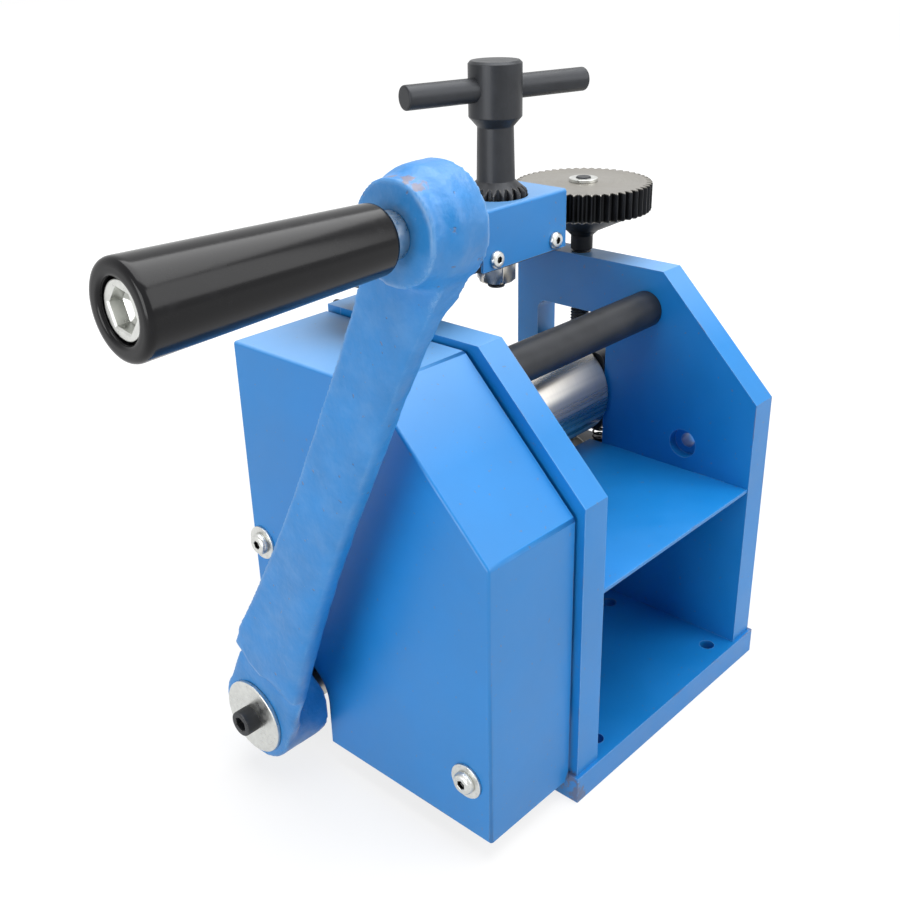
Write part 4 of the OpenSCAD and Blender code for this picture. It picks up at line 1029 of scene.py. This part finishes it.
def gear(teeth, module, width, bore, play=0.2, addendum=1.0, dedendum=1.25, flank_steps=3):
    """A plain spur gear from Z 0 up, with a shallow turned face on each side."""
    tip = module * (teeth / 2 + addendum)
    root = module * (teeth / 2 - dedendum)
    inner = bore + 0.45 * (root - bore)
    dish = 0.35 if root - bore > 6 else 0.0
    rim = root - 0.12 * (root - bore)
    section = [row(bore, width / 2), row(bore, 0, 0.3), row(inner, 0, 0.2),
               row(inner + dish, dish), row(rim - dish, dish, 0), row(rim, 0, 0.2),
               *tooth_rows(tip, 0, width), row(rim, width, 0.2), row(rim - dish, width - dish),
               row(inner + dish, width - dish), row(inner, width, 0.2), row(bore, width, 0.3),
               row(bore, width / 2)]
    return spun(section, teeth=teeth, flank_steps=flank_steps, module=module, play=play,
                addendum=addendum, dedendum=dedendum)


def both(y, z, x=PLATE_MID):
    """The two places of a thing that each end of the mill has."""
    return [(x, y, z), (-x, y, z)]


class MILL_OT_frame(bpy.types.Operator):
    """Base, side plates, work table, tie bar and the screws that hold them"""

    bl_idname = "mill.frame"
    bl_label = "Base and side plates"

    def execute(self, context):
        edge = context.scene.mill_sizes.plate_edge / MM
        for node, radius in (("base_plate", edge), ("near_side_plate", edge),
                             ("far_side_plate", edge), ("work_table", 0.25)):
            soft_piece(f"{node}_painted", node, "blue_paint", (radius, 3))
        piece("tie_bar_turned", "tie_bar",
              rod(8.5, -PLATE_IN, PLATE_IN, 0.4, (0, TIE_Y, TIE_Z), "X"), "black_oxide")
        piece("tie_bar_screws", "tie_screws",
              screws(both(TIE_Y, TIE_Z, PLATE_OUT), ["X", "-X"], 8, 30, knurl=0.12),
              "black_oxide")
        feet = [(x, y, FOOT_Z) for x in (-PLATE_MID, PLATE_MID) for y in (-FOOT_Y, FOOT_Y)]
        piece("plate_foot_screws", "foot_screws",
              screws(feet, ["-Z"] * 4, 6, 16, knurl=0.1, seed=5), "black_oxide")
        return {"FINISHED"}


class MILL_OT_bearings(bpy.types.Operator):
    """Bearing blocks, bushes, lift springs and thrust pads"""

    bl_idname = "mill.bearings"
    bl_label = "Bearings"

    def execute(self, context):
        for node in ("near_lower_block", "far_lower_block", "near_upper_block",
                     "far_upper_block"):
            soft_piece(f"{node}_milled", node, "black_oxide", (0.35, 2))
        for level, z, _ in LEVELS:
            pair = joined(*(ring(12.08, 14.97, 14.8, 0.4, (side * BUSH_X, AXIS_Y, z), axis)
                            for side, _, axis in SIDES))
            piece(f"{level}_journal_bushes", f"{level}_bushes", pair, "bearing_bronze")
        pads = copies(spun(rod_section(6.5, 0, 3, 0.4)), both(AXIS_Y, PAD_Z))
        piece("thrust_pads_ground", "thrust_pads", pads, "ground_steel")
        for side, name, axis in SIDES:
            bush = ring(8.08, 10.97, 14, 0.4, (side * PLATE_IN, CRANK_Y, CRANK_Z), axis)
            piece(f"{name}_crank_bush_bored", f"{name}_crank_bush", bush, "bearing_bronze")
        seats = points_mesh([(x, AXIS_Y + y, SPRING_Z) for x in (PLATE_MID, -PLATE_MID)
                             for y in (-SPRING_Y, SPRING_Y)])
        coils = grown(TREES["springs"], seats, coil_radius=2.5 * MM, wire_radius=0.5 * MM,
                      height=SPRING_H * MM, turns=float(context.scene.mill_sizes.spring_turns))
        coils = piece("lift_spring_coils", "lift_springs", coils, "black_oxide", rides=False)
        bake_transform(coils)
        return {"FINISHED"}


class MILL_OT_rollers(bpy.types.Operator):
    """The two ground rollers"""

    bl_idname = "mill.rollers"
    bl_label = "Rollers"

    def execute(self, context):
        for level, z, end in LEVELS:
            section = [row(0, end), row(GEAR_SEAT_R, end, 0.6), row(GEAR_SEAT_R, GEAR_X, 0.2),
                       row(JOURNAL_R, GEAR_X, 0.5), row(JOURNAL_R, -ROLLER_HALF, 0.5),
                       row(ROLLER_R, -ROLLER_HALF, 0.9), row(ROLLER_R, ROLLER_HALF, 0.9),
                       row(JOURNAL_R, ROLLER_HALF, 0.5), row(JOURNAL_R, JOURNAL_END, 0.7),
                       row(0, JOURNAL_END)]
            mesh = laid(spun(section, columns=160), (0, AXIS_Y, z), "X")
            piece(f"{level}_roller_ground", f"{level}_roller", mesh, "polished_steel")
        return {"FINISHED"}


class MILL_OT_adjusters(bpy.types.Operator):
    """Adjusting screws with their gears, the idlers and the T-handle"""

    bl_idname = "mill.adjusters"
    bl_label = "Adjusting train"

    def execute(self, context):
        sizes = context.scene.mill_sizes
        tip, root, bore = TRAIN_M * 26, TRAIN_M * (25 - 1.25), 4.73
        wheel = [row(bore, 215), row(bore, WHEEL_FOOT, 0.2), dull(5.3, WHEEL_FOOT, 0.15),
                 dull(5.3, 197.9, 0.3), dull(8, 200.6, 0.3),
                 dull(root - 1.5, GEAR_Z - 0.35, 0.4), dull(root - 0.3, GEAR_Z),
                 *tooth_rows(tip, GEAR_Z, GEAR_TOP, 0.6), row(root - 0.6, GEAR_TOP),
                 row(root - 1.1, GEAR_TOP - 0.12), row(8.4, GEAR_TOP - 0.12),
                 row(7.9, GEAR_TOP), row(bore, GEAR_TOP), row(bore, 215)]
        for side, name, _ in SIDES:
            x = side * PLATE_MID
            turn = math.pi if side > 0 else 0.0
            mesh = laid(spun(wheel, teeth=50, module=TRAIN_M, play=0.2), (x, AXIS_Y, 0), "Z",
                        turn)
            piece(f"{name}_adjusting_wheel", f"{name}_adjusting_gear", mesh, "gear_steel")
            mesh = joined(threaded(SCREW_FOOT, GEAR_TOP, 4.7, sizes.thread_depth,
                                   sizes.thread_pitch, x),
                          rod(3.5, GEAR_TOP - 3, SCREW_TIP, 0.5, (x, AXIS_Y, 0)))
            piece(f"{name}_screw_threaded", f"{name}_adjusting_screw", mesh, "black_oxide")
            washer = ring(3.53, 6.8, 1.6, 0.25, (x, AXIS_Y, GEAR_TOP))
            piece(f"{name}_wheel_washer", f"{name}_gear_washer", washer, "zinc_plate")
            idler = laid(gear(16, TRAIN_M, 12, 3.58), (side * IDLER_X, AXIS_Y, IDLER_Z), "Z",
                         turn + math.pi / 16)
            piece(f"{name}_idler_toothed", f"{name}_idler_gear", idler, "gear_steel")
        pins = copies(spun(rod_section(3.5, 0, 22.6, 0.4)), both(AXIS_Y, CARRIER_Z, IDLER_X))
        piece("idler_pins_ground", "idler_pins", pins, "ground_steel")
        self.t_handle()
        return {"FINISHED"}

    def t_handle(self):
        """The T-handle, whose teeth run out in a cone, with its bar, nut and washer."""
        tip, root = TRAIN_M * 11, TRAIN_M * (10 - 1.25)
        foot, low, high = 8.3, PINION_TOP - 4.5, PINION_TOP

        def run_out(radius):
            return low + (high - low) * (tip - radius) / (tip - foot)

        steps = [tip - (tip - root) * i / 5 for i in range(1, 6)]
        middle = (root + foot) / 2
        section = [
            dull(0, SPINDLE_FOOT), dull(3.5, SPINDLE_FOOT, 0.3), dull(3.5, CARRIER_Z),
            dull(7, CARRIER_Z, 0.3), dull(7, IDLER_Z), dull(foot, IDLER_Z),
            dull(tip - 0.4, IDLER_Z, 0, TOOTHED), dull(tip, IDLER_Z + 0.4, 0, TOOTHED),
            dull(tip, low, 0, TOOTHED), *(dull(r, run_out(r), 0, TOOTHED) for r in steps),
            dull(middle, run_out(middle)), dull(foot, high, 0.6), dull(7.8, 257.1, 0.8),
            dull(11.4, 261.1, 0.8), dull(11.4, HANDLE_TOP - 1.1, 0.4),
            dull(10.3, HANDLE_TOP, 0.4), dull(0, HANDLE_TOP)]
        body = laid(spun(section, teeth=20, module=TRAIN_M, play=0.2), (0, AXIS_Y, 0))
        stud = threaded(SPINDLE_FOOT, CARRIER_Z, 4.1, 0.55 * MM, 1.25 * MM)
        piece("t_handle_spindle_turned", "t_handle_spindle", joined(body, stud),
              "black_oxide")
        lay = Matrix.Rotation(BAR_TURN, 4, "Z") @ Matrix(TURNS["X"]).to_4x4()
        bar = rod(5, -43.8, 46.2, 0.9, (0, AXIS_Y, BAR_Z), lay)
        piece("t_handle_cross_bar", "t_handle_bar", bar, "black_oxide")
        bore, flat = 4.13, 7.5
        chamfer = flat / math.cos(SIXTH / 2) - 1.1
        nut = [row(bore, 4.5), row(bore, 0, 0.4), row(chamfer, 0), row(flat, 0.9, 0, HEXAGON),
               row(flat, 8.6, 0, HEXAGON), row(chamfer, 9.5), row(bore, 9.5, 0.4),
               row(bore, 4.5)]
        piece("spindle_nut_hex", "spindle_nut", laid(spun(nut), (0, AXIS_Y, NUT_Z)),
              "ground_steel")
        piece("spindle_washer_turned", "spindle_washer",
              ring(bore, flat, 1.4, 0.2, (0, AXIS_Y, WASHER_Z)), "black_oxide")


class MILL_OT_bridge(bpy.types.Operator):
    """Bridge, carrier block and the folded shroud over the idlers"""

    bl_idname = "mill.bridge"
    bl_label = "Bridge and shroud"

    def execute(self, context):
        soft_piece("bridge_painted", "bridge", "blue_paint", (0.4, 2))
        piece("bridge_bar_screws", "bridge_screws",
              screws(both(PLATE_BACK, BRIDGE_SCREW_Z), ["Y", "Y"], 3, 18, seed=7),
              "black_oxide")
        soft_piece("carrier_block_milled", "carrier_block", "black_oxide", (0.4, 2))
        piece("carrier_block_screws", "carrier_screws",
              screws(both(CARRIER_BACK, SHROUD_SCREW_Z, 10), ["Y", "Y"], 5, 17, knurl=0.1,
                     seed=9), "black_oxide")
        piece("spindle_bush_bored", "spindle_bush",
              ring(7.08, 8.97, 10, 0.3, (0, AXIS_Y, CARRIER_Z)), "bearing_bronze")
        soft_piece("shroud_folded", "shroud", "blue_paint", (0.28, 2))
        piece("shroud_button_screws", "shroud_screws",
              screws(both(SHROUD_FRONT, SHROUD_SCREW_Z, 20), ["-Y", "-Y"], 4, 9.5, button=True,
                     seed=11), "zinc_plate")
        return {"FINISHED"}


def cover_outline(middle):
    """On how many sides of the gear cover's outer outline a point lies."""
    gaps = (abs(middle.y - COVER_FRONT), abs(middle.y - COVER_BACK), abs(middle.z - COVER_TOP),
            abs(middle.z - middle.y - COVER_SLOPE) / math.sqrt(2))
    return sum(gap < 0.05 for gap in gaps)


def cover_fold(middle, along):
    """Whether an edge of the gear cover is one of its outer folds."""
    if abs(along.x) > 0.9:
        return cover_outline(middle) == 2
    return abs(middle.x - COVER_X) < 0.05 and cover_outline(middle) == 1


class MILL_OT_cover(bpy.types.Operator):
    """Gear cover of folded sheet, with its standoffs, washers and screws"""

    bl_idname = "mill.cover"
    bl_label = "Gear cover"

    def execute(self, context):
        fold = context.scene.mill_sizes.sheet_fold / MM
        soft_piece("gear_cover_folded", "gear_cover", "blue_paint", (fold, 4, cover_fold),
                   (0.22, 2))
        washer_t = 1.2
        inside, face = ([(x, y, z) for y, z in COVER_SCREWS]
                        for x in (COVER_X + COVER_T, COVER_X - washer_t))
        stand = [row(0, 0), row(4, 0, 0.3), row(4, 49.3, 0.4), row(2.5, 49.3, 0.2),
                 row(2.5, 56.3, 0.3), row(0, 56.3)]
        piece("cover_standoffs_turned", "cover_standoffs", copies(spun(stand), inside, "X"),
              "ground_steel")
        washers = copies(spun(ring_section(2.53, 7.4, washer_t, 0.3)), face, "X")
        piece("cover_washers_plated", "cover_washers", washers, "zinc_plate")
        piece("cover_button_screws", "cover_screws",
              screws(face, ["-X", "-X"], 5, 12, button=True, seed=13), "zinc_plate")
        return {"FINISHED"}


class MILL_OT_drive(bpy.types.Operator):
    """Roller gears, reduction gear, crank shaft and their screws and washers"""

    bl_idname = "mill.drive"
    bl_label = "Drive gears"

    def execute(self, context):
        quarter = math.pi / 2
        for (level, z, end), turn in zip(LEVELS, (quarter, -quarter + math.pi / 17)):
            wheel = gear(17, ROLLER_M, 14, 10.03, play=0.4, addendum=1.1, dedendum=1.23,
                         flank_steps=5)
            piece(f"{level}_roller_wheel", f"{level}_roller_gear",
                  laid(wheel, (GEAR_X - 14, AXIS_Y, z), "X", turn), "gear_steel")
            seat = (end - 2, AXIS_Y, z)
            piece(f"{level}_end_washer_plated", f"{level}_end_washer",
                  ring(3.03, 12.5, 2, 0.3, seat, "X"), "zinc_plate")
            piece(f"{level}_end_cap_screw", f"{level}_end_screw",
                  screws([seat], ["-X"], 6, 16, knurl=0.1, seed=15), "black_oxide")
        wheel = gear(40, DRIVE_M, 12, 10.03, flank_steps=5)
        piece("reduction_wheel", "reduction_gear",
              laid(wheel, (REDUCTION_X - 12, AXIS_Y, LOW_Z), "X",
                   DRIVE_ANGLE + math.pi + math.pi / 40), "gear_steel")
        wheel = gear(16, DRIVE_M, 12, 8.03, flank_steps=5)
        piece("drive_pinion_toothed", "drive_pinion",
              laid(wheel, (REDUCTION_X - 12, CRANK_Y, CRANK_Z), "X", DRIVE_ANGLE),
              "gear_steel")
        piece("crank_shaft_ground", "crank_shaft",
              rod(8, SHAFT_END, PLATE_OUT, 0.6, (0, CRANK_Y, CRANK_Z), "X"), "ground_steel")
        piece("shaft_collar_turned", "shaft_collar",
              ring(8.03, 12, 7, 0.4, (COLLAR_X, CRANK_Y, CRANK_Z), "X"), "black_oxide")
        soft_piece("crank_key_milled", "crank_key", "ground_steel", (0.3, 2))
        return {"FINISHED"}


def ramp(value, span):
    """How far a value has come along a span, from 0 to 1."""
    return min(1, max(0, value / span))


class MILL_OT_crank(bpy.types.Operator):
    """Cast crank arm with its grip, bolt, washers and end screw"""

    bl_idname = "mill.crank"
    bl_label = "Crank and grip"

    def execute(self, context):
        sizes = context.scene.mill_sizes
        piece("crank_arm_cast", "crank_arm", self.cast(sizes), "cast_blue_paint", smooth=60)
        hub, hub_washer_t = (HUB_FRONT, CRANK_Y, CRANK_Z), 2
        piece("crank_washer_plated", "crank_washer",
              ring(3.53, 16.5, hub_washer_t, 0.5, hub, "-X"), "zinc_plate")
        piece("crank_end_screw", "crank_screw",
              screws([(HUB_FRONT - hub_washer_t, CRANK_Y, CRANK_Z)], ["-X"], 7, 20, knurl=0.1,
                     seed=17), "black_oxide")
        bolt = [row(0, 240.6), row(4.4, 241.6, 0, HEXAGON), row(4.75, 241.9, 0, HEXAGON),
                row(4.75, 245.3, 0, HEXAGON), row(5.15, 245.7, 0, HEXAGON), row(6.2, 245.7),
                row(7.2, 245.7, 1.0), row(7.2, 238.2, 0.3), row(5, 238.2, 0.2),
                row(5, 142.7, 0.6), row(0, 142.7)]
        grip_axis = (0, GRIP_Y, GRIP_Z)
        piece("handle_bolt_plated", "handle_bolt", laid(spun(bolt), grip_axis, "-X", 0.35),
              "zinc_plate")
        piece("grip_spacer_plated", "grip_spacer",
              ring(5.03, 6.7, 6, 0.4, (BOSS_FRONT, GRIP_Y, GRIP_Z), "-X"), "zinc_plate")
        bore, recess = 5.08, 7.7
        grip = [row(bore, 200), row(bore, GRIP_IN, 0.4), row(9.8, GRIP_IN, 1.4),
                row(12.3, GRIP_OUT, sizes.grip_round / MM), row(recess, GRIP_OUT, 1.3),
                row(recess, GRIP_OUT - 9, 0.3), row(bore, GRIP_OUT - 9, 0.3), row(bore, 200)]
        piece("hand_grip_moulded", "hand_grip",
              laid(spun(grip, columns=128, steps=6), grip_axis, "-X"), "black_plastic")
        return {"FINISHED"}

    def eased(self, mesh):
        """The casting with the front ridge of its arm worn much rounder than its other
        edges, and the arm's lower corner a little rounder."""
        lean = Vector((math.cos(CRANK_ANGLE), math.sin(CRANK_ANGLE)))
        obj = linked("Eased", mesh)
        worn = obj.vertex_groups.new(name="worn")
        for vertex in mesh.vertices:
            spot = Vector((vertex.co.y / MM - CRANK_Y, vertex.co.z / MM - CRANK_Z))
            along, across = spot.dot(lean), -spot.x * lean.y + spot.y * lean.x
            ridge = ramp(across, 4) * ramp(along - 16, 8) * ramp(CRANK_THROW - 18 - along, 8)
            corner = 0.5 * ramp(12 - math.hypot(along - 34, across + 20), 6)
            weight = max(ridge, corner)
            if weight > 0:
                worn.add([vertex.index], weight, "REPLACE")
        self.smooth(obj, 110).vertex_group = worn.name
        return evaluated(obj)

    def smooth(self, obj, iterations):
        """Adds a smoothing modifier."""
        soft = obj.modifiers.new("Soft", "SMOOTH")
        soft.factor = 0.5
        soft.iterations = iterations
        return soft

    def cast(self, sizes):
        """The arm as a casting: the drawing's shape remeshed, softened and lumpy."""
        obj = linked("Arm", mesh_of(cad_copy("crank_arm"), "Arm"))
        grid = obj.modifiers.new("Grid", "REMESH")
        grid.mode = "VOXEL"
        grid.voxel_size = sizes.cast_grid
        self.smooth(obj, 2)
        mesh = self.eased(evaluated(obj))
        count = len(mesh.vertices)
        spots, normals = np.empty(count * 3), np.empty(count * 3)
        mesh.vertices.foreach_get("co", spots)
        mesh.vertices.foreach_get("normal", normals)
        spots, normals = spots.reshape(-1, 3), normals.reshape(-1, 3)
        broad, fine = 9 * MM, 3.5 * MM
        lumps = np.array([noise.noise(Vector(p) / broad) + 0.45 * noise.noise(
            Vector(p) / fine) for p in spots])
        # Faces that look along the shaft were ground flatter
        calm = 1.0 - 0.7 * np.clip((np.abs(normals[:, 0]) - 0.6) / 0.3, 0, 1)
        spots = spots + normals * (lumps * calm * sizes.cast_lumps)[:, None]
        low, high = (np.array(corner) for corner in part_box("crank_arm"))
        mesh.vertices.foreach_set("co", np.clip(spots, low, high).ravel())
        mesh.update()
        return mesh


# Stage

CAMERA_AT = (-0.3672, -0.2802, 0.3336)
CAMERA_RIGHT = (0.67738429, -0.735243427, -0.023824937)
CAMERA_DOWN = (-0.327442315, -0.272356411, -0.904767106)
CAMERA_AHEAD = (0.658735193, 0.620676316, -0.425239764)
FOCAL_PIXELS, FRAME_PIXELS, SENSOR = 1113.37, 900, 36.0

# Each softbox's place, the point that it faces, its size and its power
SOFTBOXES = {
    "Overhead softbox": ((0.15, -0.05, 1.3), (0, 0, 0.1), 1.3, 24),
    "Front softbox": ((0.5, -1.25, 0.85), (0, 0, 0.1), 1.0, 10),
    "Side softbox": ((-1.4, -0.1, 0.34), (0, 0, 0.12), 0.8, 11),
}


def end_by_rays(tree, unseen, seen, end_kind):
    """Ends a tree with one shader for the camera's rays and for reflected and transmitted
    ones, and another for the rays that light the object."""
    path = add(tree, "ShaderNodeLightPath").outputs
    directly = maths("MAXIMUM", Value(path["Is Camera Ray"]), maths(
        "MAXIMUM", Value(path["Is Glossy Ray"]), Value(path["Is Transmission Ray"])))
    add(tree, end_kind, {0: out(tree, "ShaderNodeMixShader", {0: directly, 1: unseen,
                                                              2: seen})})


class MILL_OT_stage(bpy.types.Operator):
    """Pale floor, soft studio light and the camera"""

    bl_idname = "mill.stage"
    bl_label = "Stage"

    def execute(self, context):
        scene = context.scene
        scene.view_settings.view_transform = "Standard"
        bm = bmesh.new()
        bmesh.ops.create_grid(bm, x_segments=1, y_segments=1, size=6.0)
        bmesh.ops.translate(bm, verts=bm.verts, vec=(0, 0, -0.2 * MM))
        floor = linked("floor", mesh_of(bm, "floor"))
        floor.data.materials.append(self.floor_material())
        self.sky(scene)
        for name, (at, aim, size, watts) in SOFTBOXES.items():
            lamp = bpy.data.lights.new(name, "AREA")
            lamp.shape, lamp.size, lamp.energy = "SQUARE", size, watts
            obj = linked(name, lamp)
            obj.location = at
            obj.rotation_euler = (Vector(aim) - Vector(at)).to_track_quat("-Z", "Y").to_euler()
        camera = linked("Camera", bpy.data.cameras.new("Camera"))
        right, down, ahead = (Vector(v) for v in (CAMERA_RIGHT, CAMERA_DOWN, CAMERA_AHEAD))
        turn = Matrix((right, -down, -ahead)).transposed().to_4x4()
        camera.matrix_world = Matrix.Translation(CAMERA_AT) @ turn
        camera.data.sensor_width = SENSOR
        camera.data.lens = FOCAL_PIXELS / FRAME_PIXELS * SENSOR
        camera.data.clip_start = 0.01
        scene.camera = camera
        return {"FINISHED"}

    def floor_material(self):
        """White to the camera, with the object's shadow on it. Matt to the light."""
        material = bpy.data.materials.new("pale_floor")
        material.use_nodes = True
        tree = material.node_tree
        tree.nodes.clear()
        matt, faint = (out(tree, "ShaderNodeBsdfDiffuse", {"Color": (grey, grey, grey, 1)})
                       for grey in (0.7, 0.22))
        away = vector_maths(tree, "LENGTH", object_place(tree))
        glow = out(tree, "ShaderNodeEmission", {"Strength": ranged(away, 0.25, 0.8, 0.8, 1.0)})
        seen = out(tree, "ShaderNodeAddShader", {0: faint, 1: glow})
        end_by_rays(tree, matt, seen, "ShaderNodeOutputMaterial")
        return material

    def sky(self, scene):
        """White world: full strength where it is seen, lower where it lights."""
        world = bpy.data.worlds.new("Studio")
        world.use_nodes = True
        scene.world = world
        tree = world.node_tree
        tree.nodes.clear()
        lit, seen = (out(tree, "ShaderNodeBackground", {"Color": (1, 1, 1, 1),
                                                        "Strength": strength})
                     for strength in (0.09, 1.0))
        end_by_rays(tree, lit, seen, "ShaderNodeOutputWorld")


OPERATORS = (MILL_OT_workshop, MILL_OT_frame, MILL_OT_bearings, MILL_OT_rollers,
             MILL_OT_adjusters, MILL_OT_bridge, MILL_OT_cover, MILL_OT_drive, MILL_OT_crank,
             MILL_OT_stage)


class MILL_PT_panel(bpy.types.Panel):
    """Sizes, colours and steps of the rolling mill"""

    bl_idname = "MILL_PT_panel"
    bl_label = "Rolling mill"
    bl_space_type = "VIEW_3D"
    bl_region_type = "UI"
    bl_category = "Rolling mill"

    def draw(self, context):
        for group in (context.scene.mill_sizes, context.scene.mill_colours):
            box = self.layout.box()
            for label in group.__annotations__:
                box.prop(group, label)
        for operator in OPERATORS:
            self.layout.operator(operator.bl_idname)


CLASSES = (MillSizes, MillColours, *OPERATORS, MILL_PT_panel)


def register():
    for cls in CLASSES:
        bpy.utils.register_class(cls)
    bpy.types.Scene.mill_sizes = PointerProperty(type=MillSizes)
    bpy.types.Scene.mill_colours = PointerProperty(type=MillColours)


def unregister():
    del bpy.types.Scene.mill_colours
    del bpy.types.Scene.mill_sizes
    for cls in reversed(CLASSES):
        bpy.utils.unregister_class(cls)


def main():
    register()
    for operator in OPERATORS:
        space, name = operator.bl_idname.split(".")
        getattr(getattr(bpy.ops, space), name)()


if __name__ == "__main__":
    main()
